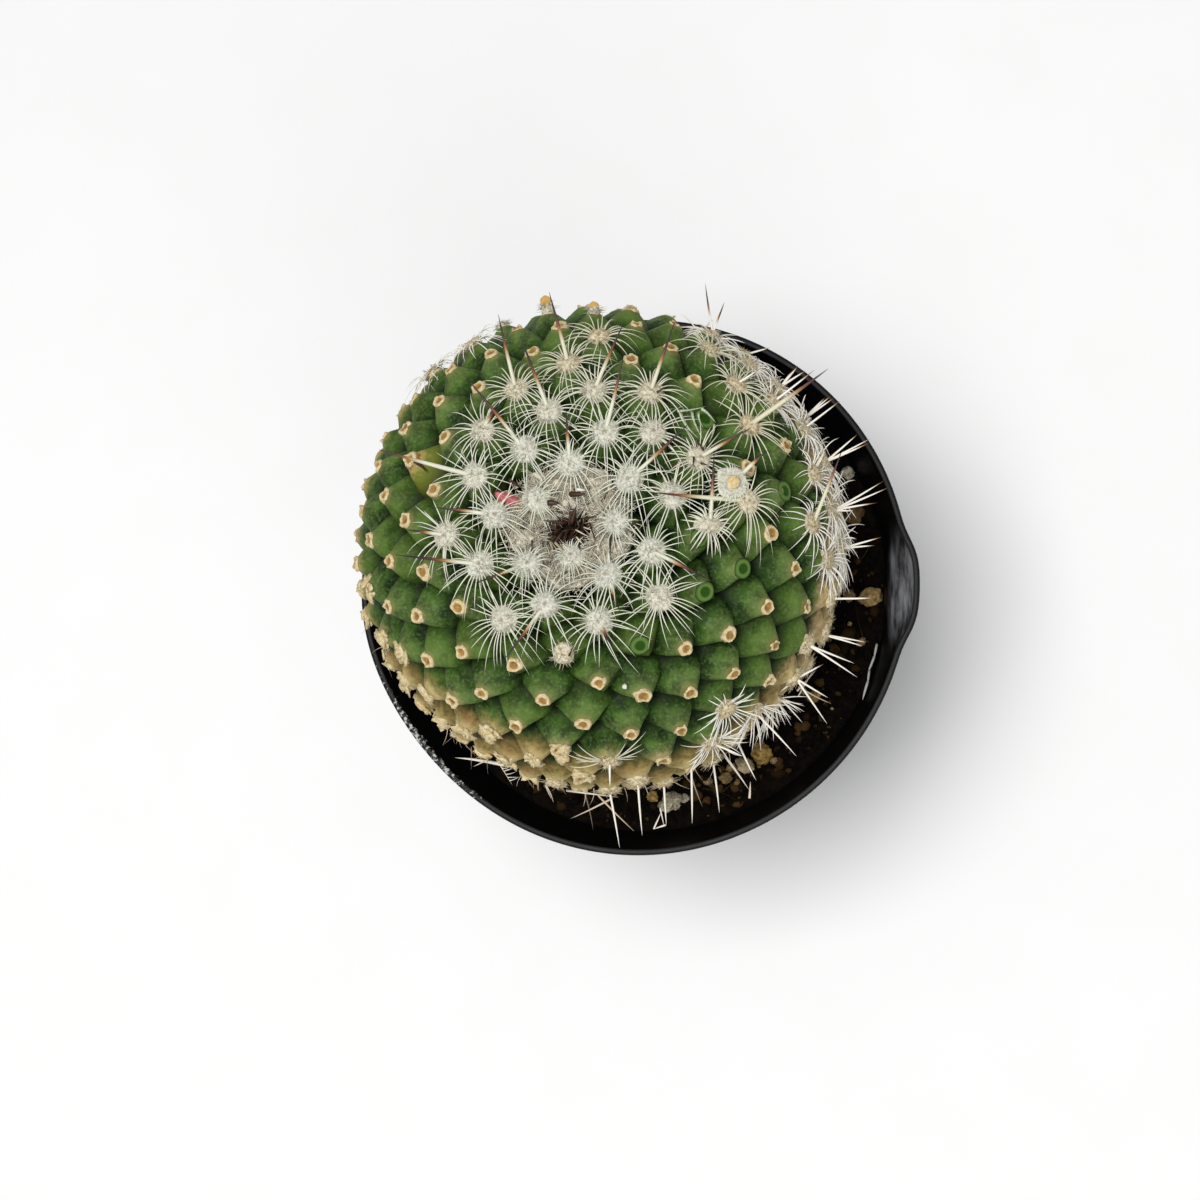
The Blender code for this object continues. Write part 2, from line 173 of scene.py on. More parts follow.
# The camera: its tilt from straight down, and its aim to the side of the rim's middle
CAMERA_TILT = math.radians(11.85)
CAMERA_BEARING = math.radians(-35.4)
CAMERA_DISTANCE = 330 * MM
CAMERA_AIM = (5.825 * MM, 2.598 * MM)
CAMERA_LENS = 62.88

Areole = namedtuple("Areole", "index along turn tip sideways crownward axis face")


def turned(outline, sides, scale=1.0):
    """A closed body from an outline of (radius, height), spun about the vertical axis."""
    bm = bmesh.new()
    points = [bm.verts.new((radius * scale, 0, height * scale)) for radius, height in outline]
    for one, other in zip(points, points[1:]):
        bm.edges.new((one, other))
    bmesh.ops.spin(
        bm, geom=bm.verts[:] + bm.edges[:], cent=(0, 0, 0), axis=UP, dvec=(0, 0, 0),
        angle=2 * math.pi, steps=sides, use_merge=True, use_duplicate=False,
    )
    bmesh.ops.remove_doubles(bm, verts=bm.verts, dist=MERGE)
    bmesh.ops.recalc_face_normals(bm, faces=bm.faces)
    return bm


def as_shape(bm):
    """A bmesh kept as a mesh, to be copied many times."""
    shape = bpy.data.meshes.new("shape")
    bm.to_mesh(shape)
    bm.free()
    return shape


def copy_of(bm, shape):
    """Adds a copy of a shape to a bmesh that nothing was removed from, and gives its points."""
    first = len(bm.verts)
    bm.from_mesh(shape)
    bm.verts.ensure_lookup_table()
    return bm.verts[first:]


def new_piece_mesh():
    """An empty bmesh whose points carry three marks that the materials read."""
    bm = bmesh.new()
    return bm, bm.verts.layers.float_vector.new("marks")


def finish_piece(name, bm, material, slot, *replaced):
    """Makes a bmesh a smooth piece that rides on the one body."""
    mesh = bpy.data.meshes.new(name)
    bm.to_mesh(mesh)
    bm.free()
    mesh.materials.append(material)
    mesh.shade_smooth()
    piece = bpy.data.objects.new(name, mesh)
    bpy.context.scene.collection.objects.link(piece)
    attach(piece, "root")
    if replaced:
        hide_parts(*replaced)
    return piece


def level(bearing):
    """The level direction at a bearing."""
    return Vector((math.cos(bearing), math.sin(bearing), 0))


def any_turn(chance):
    """A random bearing or turn."""
    return chance.uniform(0, 2 * math.pi)


def any_seed(chance):
    """A random place in the noise."""
    return Vector([chance.uniform(0, 99) for _ in range(3)])


def camera_frame():
    """The camera's right, up and back directions, and its place."""
    back = level(CAMERA_BEARING) * math.sin(CAMERA_TILT) + UP * math.cos(CAMERA_TILT)
    right = (-back).cross(Vector((0, 1, 0))).normalized()
    upward = right.cross(-back)
    place = back * CAMERA_DISTANCE - right * CAMERA_AIM[0] - upward * CAMERA_AIM[1] + UP * POT_HEIGHT
    return right, upward, back, place


def slid(point, length):
    """A point in mm over the soil, moved along the line of sight toward the camera."""
    spot = Vector(point) * MM + UP * SOIL_Z
    return spot + (camera_frame()[3] - spot).normalized() * length * MM


def blend(low, high, value):
    """0 below low, 1 above high and a smooth rise between them."""
    part = min(1.0, max(0.0, (value - low) / (high - low)))
    return part * part * (3 - 2 * part)


# Colours and materials

NOISE = "ShaderNodeTexNoise"
RANGE = "ShaderNodeMapRange"
MATHS = "ShaderNodeMath"
MIX = "ShaderNodeMix"
BUMP = "ShaderNodeBump"
MIX_A, MIX_B, MIX_OUT = 6, 7, 2


def colour(hex_text):
    """An sRGB hex colour as the linear RGBA that the shaders use."""
    parts = [int(hex_text[place:place + 2], 16) / 255 for place in (1, 3, 5)]
    linear = [part / 12.92 if part <= 0.04045 else ((part + 0.055) / 1.055) ** 2.4 for part in parts]
    return (*linear, 1.0)


def wire(tree, node, inputs):
    """Sets or links each named input of a node."""
    for key, value in inputs.items():
        if isinstance(value, bpy.types.NodeSocket):
            tree.links.new(value, node.inputs[key])
        else:
            node.inputs[key].default_value = colour(value) if isinstance(value, str) else value


def add(tree, kind, inputs, out=0, **settings):
    """Adds a node with its settings and links, and gives one of its outputs."""
    made = tree.nodes.new(kind)
    for name, value in settings.items():
        setattr(made, name, value)
    wire(tree, made, inputs)
    return made.outputs[out]


def new_material(name, *patterns):
    """A material, its tree and shader, its marks, and a noise for each size in mm, detail and roughness."""
    material = bpy.data.materials.new(name)
    material.use_nodes = True
    tree = material.node_tree
    place = add(tree, "ShaderNodeTexCoord", {}, "Object")
    marks = add(tree, "ShaderNodeAttribute", {}, "Vector", attribute_name="marks")
    marks = add(tree, "ShaderNodeSeparateXYZ", {0: marks}).node.outputs
    noises = []
    for size, detail, rough in patterns:
        inputs = {"Vector": place, "Scale": 1 / (size * MM), "Detail": detail, "Roughness": rough}
        noises.append(add(tree, NOISE, inputs))
    return material, tree, tree.nodes["Principled BSDF"], marks, noises


def layered(tree, base, *layers):
    """Lays tones over a base: each grows to its share as its pattern goes from one value to another."""
    for pattern, start, end, share, tone in layers:
        part = add(tree, RANGE, {"Value": pattern, "From Min": start, "From Max": end, "To Max": share})
        base = add(tree, MIX, {0: part, MIX_A: base, MIX_B: tone}, MIX_OUT, data_type="RGBA")
    return base


def cactus_skin():
    """Waxy green epidermis: satin and cloudy, with painted shade in the axils and in the cork's crevices,
    and corky tan where it is old.
    """
    material, tree, shader, (reach, cork, luck), (cloud, dapple, flake) = new_material(
        "waxy_green_epidermis", (2.4, 3, 0.5), (0.45, 4, 0.5), (1.1, 5, 0.65),
    )
    near_tip = add(tree, RANGE, {"Value": reach, "From Min": 0.66, "From Max": 1.0, "To Max": 0.75})
    bloom = add(tree, MATHS, {0: near_tip, 1: cloud}, operation="MULTIPLY")
    hurt = add(tree, RANGE, {"Value": luck, "From Min": 1.2, "From Max": 1.4, "To Max": 0.7})
    crust = add(tree, MATHS, {0: flake, 1: 0.35, 2: reach}, operation="MULTIPLY_ADD")
    crust = add(tree, MATHS, {0: crust, 1: hurt}, operation="MULTIPLY")
    # The last green layer is painted shade: near black where reach is low, in the axils between tubercles.
    green = layered(
        tree, "#1c3609", (cloud, 0.38, 0.62, 1, "#446522"), (dapple, 0.5, 0.75, 0.45, "#83926a"),
        (dapple, 0.42, 0.28, 0.4, "#162c08"), (bloom, 0, 1, 1, "#848e59"),
        (luck, 0.5, 1, 0.35, "#5c742a"), (hurt, 0, 1, 1, "#7a7d2c"), (crust, 0.69, 0.75, 0.85, "#ad9a5c"),
        (crust, 0.765, 0.785, 0.85, "#7d4420"), (reach, 0.76, 0.42, 1, "#0c1604"),
    )
    place = add(tree, "ShaderNodeTexCoord", {}, "Object")
    east = add(tree, "ShaderNodeSeparateXYZ", {"Vector": place})
    paper = layered(tree, "#a28a5c", (flake, 0.36, 0.64, 1, "#ccb98e"))
    # The last dry layer is painted shade in the crevices between the corky tubercles.
    dry = layered(
        tree, "#6c6034", (flake, 0.36, 0.64, 1, "#a6935a"), (cloud, 0.48, 0.62, 0.45, "#946c46"),
        (reach, 0.8, 1, 0.7, "#dccb95"), (east, 20 * MM, 30 * MM, 0.8, paper),
        (reach, 0.8, 0.45, 1, "#3b2e15"),
    )
    age = add(tree, MATHS, {0: reach, 1: 2.0, 2: cork}, operation="MULTIPLY_ADD")
    front = add(tree, MATHS, {0: flake, 1: 0.6, 2: age}, operation="MULTIPLY_ADD")
    corky = add(tree, RANGE, {"Value": front, "From Min": 2.42, "From Max": 2.85})
    base = layered(tree, green, (corky, 0, 1, 1, dry), (reach, 0.93, 0.965, 0.45, "#8a7c4a"))
    rough = add(tree, MATHS, {0: corky, 1: 0.25, 2: 0.58}, operation="MULTIPLY_ADD")
    rind = add(tree, MATHS, {0: corky, 1: 4.0}, operation="MULTIPLY")
    skin = add(tree, MATHS, {0: flake, 1: rind, 2: dapple}, operation="MULTIPLY_ADD")
    bumps = add(tree, BUMP, {"Height": skin, "Distance": 0.08 * MM})
    wire(tree, shader, {
        "Base Color": base, "Roughness": rough, "Normal": bumps, "Specular IOR Level": 0.1,
    })
    return material


def spine_material(name, young, old):
    """Dry needle-like keratin: smooth and pale, browning to black along the tip."""
    material, tree, shader, (reach, start, warmth), _ = new_material(name)
    turn = add(tree, MATHS, {0: reach, 1: start}, operation="SUBTRACT")
    base = layered(
        tree, young, (warmth, 0, 1, 1, old), (turn, -0.14, 0.02, 1, "#a98450"),
        (turn, 0, 0.09, 1, "#7b4229"), (turn, 0.08, 0.2, 1, "#3d1e17"), (turn, 0.22, 0.36, 1, "#150c0a"),
        (warmth, 1.2, 2, 1, "#38200f"),
    )
    wire(tree, shader, {"Base Color": base, "Roughness": 0.45})
    return material


def ivory_needle():
    """Spines in good light: ivory white, smooth enough to glint."""
    return spine_material("ivory_needle", "#dbdcc9", "#d8cb9f")


def weathered_lightened_needle():
    """Old spines and hairs on the flank and near the soil: bleached white and partly painted light, kept
    paler than the ivory spines to make up for the weaker light there, with a pinkish stain as they age.
    """
    return spine_material("weathered_lightened_needle", "#f5f1e6", "#cdb79a")


def wool_material():
    """Matted plant wool: fully matt and white, creamier as it ages, with a small brown centre."""
    material, tree, shader, (_, age, spot), (matted,) = new_material("areole_wool", (0.35, 4, 0.5))
    high = layered(tree, "#d9d8ca", (age, 0, 1, 1, "#e2d6b6"))
    low = layered(tree, "#aeac9a", (age, 0, 1, 1, "#b09c70"))
    base = layered(tree, low, (matted, 0.35, 0.6, 1, high), (spot, 0, 1, 1, "#7d6643"))
    bumps = add(tree, BUMP, {"Height": matted, "Distance": 0.15 * MM})
    wire(tree, shader, {"Base Color": base, "Roughness": 0.95, "Normal": bumps})
    return material


def scar_material():
    """Healed cork where an areole was shed: dry and tan, with a pale torn rim, or still green."""
    material, tree, shader, (reach, fresh, yellow), (flake,) = new_material(
        "healed_cork_scar", (0.5, 5, 0.7),
    )
    rim = layered(tree, "#b3985f", (flake, 0.32, 0.68, 1, "#ece0ba"))
    pit = layered(tree, "#74542a", (flake, 0.32, 0.68, 1, "#b38d50"))
    cork = layered(tree, pit, (reach, 0.42, 0.62, 1, rim), (yellow, 0, 1, 1, "#cba04a"))
    sappy = layered(
        tree, "#26480c", (reach, 0.42, 0.62, 1, "#5c7838"), (reach, 0.72, 0.95, 1, "#3b5826"),
    )
    base = layered(tree, cork, (fresh, 0, 1, 1, sappy))
    bumps = add(tree, BUMP, {"Height": flake, "Distance": 0.12 * MM})
    wire(tree, shader, {"Base Color": base, "Roughness": 0.8, "Normal": bumps, "Specular IOR Level": 0.15})
    return material


def torn_material():
    """Torn plant tissue: moist, stringy and pale green."""
    material, tree, shader, _, (string,) = new_material("torn_green_tissue", (0.3, 3, 0.5))
    base = layered(tree, "#93a277", (string, 0.35, 0.65, 1, "#ccd2bb"))
    wire(tree, shader, {"Base Color": base, "Roughness": 0.6, "Specular IOR Level": 0.2})
    return material


def felt_material():
    """Young wool at the growing point: dense, grey-white felt, with painted shade where it parts and in its
    sunk hollow under the clump.
    """
    material, tree, shader, (_, _, felt_painted_shade), (matted,) = new_material("crown_felt", (0.5, 5, 0.65))
    base = layered(tree, "#aa9e82", (matted, 0.32, 0.6, 1, "#ece6d3"), (felt_painted_shade, 0, 1, 1, "#1c100a"))
    bumps = add(tree, BUMP, {"Height": matted, "Distance": 0.25 * MM})
    wire(tree, shader, {"Base Color": base, "Roughness": 0.95, "Normal": bumps})
    return material


def petal_material():
    """Thin petals folded shut: satin and pink, paler at the edges."""
    material, tree, shader, (reach, edge, _), (vein,) = new_material("pink_petal", (0.4, 2, 0.5))
    base = layered(
        tree, "#c25a63", (vein, 0.35, 0.65, 1, "#d9787e"), (edge, 0.6, 1, 0.7, "#e3a6a2"),
        (reach, 0.4, 0, 1, "#8f8a4a"),
    )
    wire(tree, shader, {"Base Color": base, "Roughness": 0.45})
    return material


def pot_material():
    """Thin black polypropylene: moulded and satin, scuffed grey, with a painted reflection streaked grey
    inside the front dent and a painted highlight along the fold.
    """
    material, tree, shader, (wear, inner_dent_and_sheen, fold_highlight), (dust, scratch) = new_material(
        "black_moulded_polypropylene", (3, 6, 0.7), (0.7, 4, 0.7),
    )
    place = add(tree, "ShaderNodeTexCoord", {}, "Object")
    pulled = add(tree, "ShaderNodeMapping", {"Vector": place, "Scale": (1.0, 0.16, 0.6)})
    sheen_noise = add(tree, NOISE, {"Vector": pulled, "Scale": 1 / (0.8 * MM), "Detail": 5, "Roughness": 0.6})
    sheen_streak = add(tree, RANGE, {"Value": sheen_noise, "From Min": 0.38, "From Max": 0.68, "To Min": 0.12})
    # Painted reflection: grey streaks where the front dent tilts the inner wall toward the light.
    painted_sheen = add(tree, MATHS, {0: inner_dent_and_sheen, 1: sheen_streak}, operation="MULTIPLY")
    rubbed = add(tree, MATHS, {0: wear, 1: scratch}, operation="MULTIPLY")
    scuff = add(tree, RANGE, {"Value": rubbed, "From Min": 0.5, "From Max": 0.55})
    base = layered(
        tree, "#040404", (dust, 0.5, 0.8, 0.5, "#100f0f"), (painted_sheen, 0, 1, 1, "#85868a"),
        (scuff, 0, 1, 1, "#b9b8b2"), (fold_highlight, 0, 1, 1, "#c4c3bf"),
    )
    rough = add(tree, MATHS, {0: dust, 1: 0.2, 2: 0.36}, operation="MULTIPLY_ADD")
    rough = add(tree, MATHS, {0: scuff, 1: 0.3, 2: rough}, operation="MULTIPLY_ADD")
    bumps = add(tree, BUMP, {"Height": scratch, "Distance": 0.03 * MM})
    wire(tree, shader, {
        "Base Color": base, "Roughness": rough, "Normal": bumps, "Specular IOR Level": 0.2,
    })
    return material


def soil_material():
    """Damp peat and composted bark: matt, nearly black, with brown crumbs."""
    material, tree, shader, (_, tone, _), (crumb,) = new_material("damp_peat_mix", (1.3, 6, 0.7))
    base = layered(tree, "#030201", (crumb, 0.4, 0.75, 1, "#1a110a"), (tone, 0, 1, 1, "#5a4324"))
    bumps = add(tree, BUMP, {"Height": crumb, "Distance": 0.3 * MM})
    wire(tree, shader, {"Base Color": base, "Roughness": 0.92, "Normal": bumps, "Specular IOR Level": 0.1})
    return material


def grit_material():
    """Crushed pumice: porous, matt stone in pale, tan and ochre pieces."""
    material, tree, shader, (pale, ochre, _), (pore,) = new_material("crushed_pumice", (0.6, 5, 0.7))
    base = layered(
        tree, "#7a5e35", (pale, 0, 1, 1, "#e4dcc2"), (ochre, 0, 1, 1, "#d3ab56"),
        (pore, 0.6, 0.3, 1, "#4a371e"),
    )
    bumps = add(tree, BUMP, {"Height": pore, "Distance": 0.3 * MM})
    wire(tree, shader, {"Base Color": base, "Roughness": 0.9, "Normal": bumps})
    return material


def floor_material():
    """Matt white card: its fibres only just show, drawn coarse enough to do so."""
    material, tree, shader, _, (fibre,) = new_material("white_card", (20, 2, 0.5))
    base = layered(tree, "#f9f9f7", (fibre, 0, 1, 1, "#fcfcfb"))
    wire(tree, shader, {"Base Color": base, "Roughness": 0.8})
    return material


# The plant's surface and its spiral of areoles

def tip_surface(along):
    """Radius and height of the tips: 0 is the crown, 1 the equator and 2 the soil."""
    if along <= 1:
        angle = along * math.pi / 2
        radius = EQUATOR_RADIUS * math.sin(angle) ** SHOULDER
        dip = CROWN_DIP * math.exp(-(radius / CROWN_DIP_RADIUS) ** 2)
        return radius, EQUATOR_Z + CROWN_RISE * math.cos(angle) - dip
    drop = along - 1
    radius = EQUATOR_RADIUS - (EQUATOR_RADIUS - NECK_TIP_RADIUS) * drop ** 2
    return radius, EQUATOR_Z - (EQUATOR_Z - SOIL_Z) * drop


def slope_at(along):
    """Outward normal of the tip surface as (radial, upward)."""
    step = 1.0 / MERIDIAN_STEPS
    low = max(0.0, along - step)
    high = along + step
    radius_step = tip_surface(high)[0] - tip_surface(low)[0]
    height_step = tip_surface(high)[1] - tip_surface(low)[1]
    length = math.hypot(radius_step, height_step)
    return -height_step / length, radius_step / length


def areole_at(index, along, turn):
    """An areole with its tubercle's axes and the way that its spines face."""
    radius, height = tip_surface(along)
    radial, upward = slope_at(along)
    outward = level(turn)
    sideways = Vector((-math.sin(turn), math.cos(turn), 0))
    for bearing, spread, depth in FLATS:
        radius -= depth * dent_share(turn, bearing, spread, 2) * blend(*FLATS_ALONG, along)
    angle = math.atan2(upward, radial) - TUBERCLE_LEAN * min(1.0, along)
    axis = outward * math.cos(angle) + UP * math.sin(angle)
    tip = PLANT + outward * radius + UP * height + MOVED_TIPS.get(index, Vector())
    face = outward * radial + UP * upward
    return Areole(index, along, turn, tip, sideways, axis.cross(sideways), axis, face)


def spiral():
    """Every areole from the crown down to the soil, one for each equal share of the surface."""
    areoles = []
    area = 0.0
    last = tip_surface(0.0)
    for step in range(1, 2 * MERIDIAN_STEPS + 1):
        along = step / MERIDIAN_STEPS
        here = tip_surface(along)
        band = math.pi * (here[0] + last[0]) * math.hypot(here[0] - last[0], here[1] - last[1])
        while (len(areoles) + SPIRAL_START) * TUBERCLE_SHARE < area + band:
            part = ((len(areoles) + SPIRAL_START) * TUBERCLE_SHARE - area) / band
            spot = along - (1 - part) / MERIDIAN_STEPS
            if tip_surface(spot)[1] < LOWEST_TUBERCLE_Z:
                return areoles
            turn = FIRST_TURN - GOLDEN_TURN * len(areoles)
            areoles.append(areole_at(len(areoles), spot, turn))
        area += band
        last = here
    return areoles


def bearing_of(areole):
    """An areole's bearing, within half a turn of the x axis."""
    return math.remainder(areole.turn, 2 * math.pi)


def is_spined(areole):
    """Young tubercles, some older ones and the flank over the soil keep their spines."""
    if areole.index == APEX:
        return False
    if areole.index < SPINED_BELOW or areole.index in SPINED_OLDER + SPINED_FOOT:
        return True
    on_flank = SPINED_FLANK[0] < bearing_of(areole) < SPINED_FLANK[1]
    return on_flank and SPINED_FLANK_ALONG[0] < areole.along < SPINED_FLANK_ALONG[1]


def cork_of(areole, chance):
    """How corky a tubercle is: old ones at the front turn tan first, then those over the soil."""
    front = max(0.0, math.cos(areole.turn - CORK_FRONT)) ** 1.5
    start = CORK_START - CORK_LEAD * front
    cork = blend(start, start + CORK_SPREAD, areole.along)
    for bearing, few, many, low, high, share in CORK_SIDES:
        side = blend(few, many, math.cos(areole.turn - bearing))
        cork = max(cork, share * side * blend(low, high, areole.along))
    return CORK_DEPTH * cork + chance.uniform(*CORK_CHANCE)


# The pot

CORNER = 0.3
WALL_STEPS = 12
WALL_SLACK = 0.1 * MM
SHARP_ANGLE = math.radians(40)


def wall_radius(height):
    """Outer radius of the pot's wall, under the lip, at a height."""
    top = RIM_RADIUS - LIP_STEP
    return BASE_RADIUS + (top - BASE_RADIUS) * height / POT_HEIGHT


def straight(start, end):
    """Evenly spaced points between two points of an outline."""
    shares = [step / WALL_STEPS for step in range(1, WALL_STEPS)]
    return [tuple(low + (high - low) * share for low, high in zip(start, end)) for share in shares]


def pot_outline():
    """The pot's closed outline: the floor, up the inside, over the rim and down the outside."""
    corner = HEEL * CORNER
    edge = EDGE * CORNER
    lip_foot = POT_HEIGHT - LIP_HEIGHT
    inner_foot = wall_radius(BASE_THICKNESS) - WALL
    inner_heel = BASE_THICKNESS + HEEL
    inner_lip = (wall_radius(lip_foot) - WALL, lip_foot)
    inner_top = RIM_RADIUS - LIP_WALL
    lip_low = wall_radius(lip_foot) + LIP_STEP
    under_lip = lip_foot - LIP_STEP
    return [
        (0, BASE_THICKNESS), (inner_foot - HEEL, BASE_THICKNESS),
        (inner_foot - corner, BASE_THICKNESS + corner), (inner_foot, inner_heel),
        *straight((wall_radius(inner_heel) - WALL, inner_heel), inner_lip), inner_lip,
        *straight(inner_lip, (inner_top, POT_HEIGHT)), (inner_top, POT_HEIGHT - EDGE),
        (inner_top + edge, POT_HEIGHT - edge), (inner_top + EDGE, POT_HEIGHT),
        (RIM_RADIUS - EDGE, POT_HEIGHT), (RIM_RADIUS - edge, POT_HEIGHT - edge),
        (RIM_RADIUS, POT_HEIGHT - EDGE), *straight((RIM_RADIUS, POT_HEIGHT), (lip_low, lip_foot)),
        (lip_low, lip_foot + EDGE), (lip_low - EDGE, lip_foot),
        (wall_radius(lip_foot) + EDGE, lip_foot - LIP_STEP * 0.6),
        (wall_radius(under_lip), under_lip - EDGE),
        *straight((wall_radius(under_lip), under_lip), (wall_radius(HEEL), HEEL)),
        (wall_radius(HEEL), HEEL), (wall_radius(corner) - corner, corner),
        (wall_radius(0) - HEEL, 0), (0, 0),
    ]


def dent_share(bearing, middle, width, sharpness):
    """How far a dent reaches round the wall: 1 in its middle and 0 well beside it."""
    return math.exp(-abs(math.remainder(bearing - middle, 2 * math.pi) / width) ** sharpness)


def dent(point):
    """A point of the wall with the rim pushed out in two places, and the share of painted reflection where
    the front dent bends the inner face.
    """
    bearing = math.atan2(point.y, point.x)
    under_rim = POT_HEIGHT - point.z
    lift = math.exp(-(under_rim / DENT_HEIGHT) ** 2)
    push = 0.0
    for middle, width, depth, sharpness in DENTS:
        push += depth * lift * dent_share(bearing, middle, width, sharpness)
    inner_dent_and_sheen = 0.0
    if math.hypot(point.x, point.y) < wall_radius(point.z) + WALL_SLACK and under_rim > EDGE / 2:
        inner_dent_and_sheen = dent_share(bearing, *DENTS[0][:2], DENTS[0][3])
        push -= PINCH * inner_dent_and_sheen * blend(*PINCH_START, under_rim) * (1 - blend(*PINCH_END, under_rim))
    return point + level(bearing) * push, inner_dent_and_sheen * (1 - blend(*SHEEN_END, under_rim))


def build_pot():
    """The pot's thin wall with its drain holes, and a painted highlight along the fold in it."""
    bm = turned(pot_outline(), POT_SIDES)
    marks = bm.verts.layers.float_vector.new("marks")
    for vertex in bm.verts:
        inner_dent_and_sheen = 0.0
        if vertex.co.z > SOIL_Z - LIP_HEIGHT:
            vertex.co, inner_dent_and_sheen = dent(vertex.co)
        bearing = math.atan2(vertex.co.y, vertex.co.x)
        worn = max(0.0, math.cos(bearing - WORN_BEARING)) ** 6
        worn *= blend(POT_HEIGHT - WORN_HEIGHT, POT_HEIGHT, vertex.co.z)
        # The second mark is the painted reflection inside the front dent.
        vertex[marks] = (WEAR + (1 - WEAR) * worn, inner_dent_and_sheen, 0)
    pot = finish_piece("pot_wall", bm, pot_material(), "pot", "pot")
    pot.data.set_sharp_from_angle(angle=SHARP_ANGLE)
    bm = bmesh.new()
    for number in range(DRAIN_HOLES):
        centre = level(2 * math.pi * number / DRAIN_HOLES) * DRAIN_RING
        bmesh.ops.create_cone(
            bm, cap_ends=True, segments=32, radius1=DRAIN_RADIUS, radius2=DRAIN_RADIUS,
            depth=4 * BASE_THICKNESS, matrix=Matrix.Translation(centre),
        )
    holes = bpy.data.objects.new("holes", as_shape(bm))
    bpy.context.scene.collection.objects.link(holes)
    cut = pot.modifiers.new("drain_holes", "BOOLEAN")
    cut.object = holes
    bpy.context.view_layer.objects.active = pot
    bpy.ops.object.modifier_apply(modifier=cut.name)
    bpy.data.objects.remove(holes)

    bm, marks = new_piece_mesh()
    chance = random.Random(SEED)
    shape = needle(5, 3, 4.0)
    # Thin pale needles along the fold are a painted highlight.
    for start, end in zip(FOLD, FOLD[1:]):
        root = Vector(start) * MM + UP * SOIL_Z
        way = (Vector(end) - Vector(start)) * MM * 1.2
        bend = way.orthogonal() * chance.uniform(-0.05, 0.05)
        radius = chance.uniform(*FOLD_RADII) * MM
        add_needle(bm, marks, shape, root, way.normalized(), bend, way.length, radius, (0, 1.0))
    finish_piece("painted_fold_highlight", bm, pot_material(), "pot")


# The soil

PLACED_GRIT = (  # x, y, radius in mm, paleness, ochre
    (32.8, 17.9, 1.15, 0.9, 0.0), (33.6, 11.5, 2.3, 0.0, 0.05), (32.8, -1.5, 1.1, 0.1, 0.1),
    (36.2, -1.9, 1.9, 0.25, 0.5), (18.7, -26.6, 1.9, 0.4, 0.9), (16.0, -28.3, 1.5, 1.0, 0.45),
    (12.9, -30.2, 1.1, 0.2, 0.4), (20.6, -27.6, 0.7, 0.3, 0.4), (27.0, -17.5, 1.2, 0.1, 0.6),
    (4.1, -34.1, 1.9, 1.0, 0.1), (1.2, -33.2, 1.0, 0.6, 0.9), (6.3, -33.4, 0.9, 0.9, 0.0),
    (10.0, -30.8, 0.9, 0.3, 0.2), (14.6, -31.2, 0.7, 0.1, 0.3), (13.8, -28.6, 0.8, 0.3, 0.5),
    (31.0, 4.0, 0.9, 0.3, 0.0), (30.0, 1.2, 0.8, 0.7, 0.0), (34.5, -9.0, 0.8, 0.2, 0.3),
)
# Crumbs and stones: least size, what luck adds to it, both in mm, and how seldom
LITTER_BEARING = math.radians(-48)
CRUMBS = 1700
CRUMB_SIZE = (0.3, 1.1, 3)
STONES = 90
STONE_SIZE = (0.3, 0.7, 4)
SUNK = 0.4
NECK_SLACK = 3 * MM
SOIL_FIBRES = 150
SOIL_FIBRE_LENGTHS = (2, 7)
SOIL_FIBRE_RADIUS = 0.09 * MM
SOIL_FIBRE_RISE = 0.35 * MM


def soil_height(x, y):
    """The uneven top of the soil."""
    waves = [depth * noise.noise(Vector((x, y, 0)) / size) for size, depth in SOIL_WAVES]
    return SOIL_Z + sum(waves)


def free_soil_spot(chance, margin):
    """A place on the soil between the plant's neck and the wall."""
    reach = wall_radius(SOIL_Z) - WALL - margin
    while True:
        x = chance.uniform(-reach, reach)
        y = chance.uniform(-reach, reach)
        near_plant = math.hypot(x - PLANT.x, y - PLANT.y) < NECK_TIP_RADIUS - NECK_SLACK
        if math.hypot(x, y) < reach and not near_plant:
            return Vector((x, y, soil_height(x, y)))


def mostly_small(chance, least, more, power):
    """A size that is near its least more often than not."""
    return (least + more * chance.random() ** power) * MM


def add_lump(bm, marks, shape, spot, size, flat, chance, tone):
    """A rough crumb or stone, sunk a little into the soil."""
    angle = any_turn(chance)
    axis = Vector((chance.uniform(-1, 1), chance.uniform(-1, 1), chance.uniform(0.1, 1)))
    turn = Matrix.Rotation(angle, 3, axis.normalized())
    seed = any_seed(chance)
    stretch = Vector((1, chance.uniform(0.65, 1), flat * chance.uniform(0.8, 1.1)))
    for vertex in copy_of(bm, shape):
        rough = 1 + 0.45 * noise.noise(vertex.co * 1.4 + seed) + 0.3 * noise.noise(vertex.co * 4 + seed)
        vertex.co = spot + turn @ (vertex.co * stretch * rough * size)
        vertex[marks] = tone


def rough_ball(subdivisions):
    """A ball of radius one, as a shape to roughen."""
    bm = bmesh.new()
    bmesh.ops.create_icosphere(bm, subdivisions=subdivisions, radius=1.0)
    return as_shape(bm)


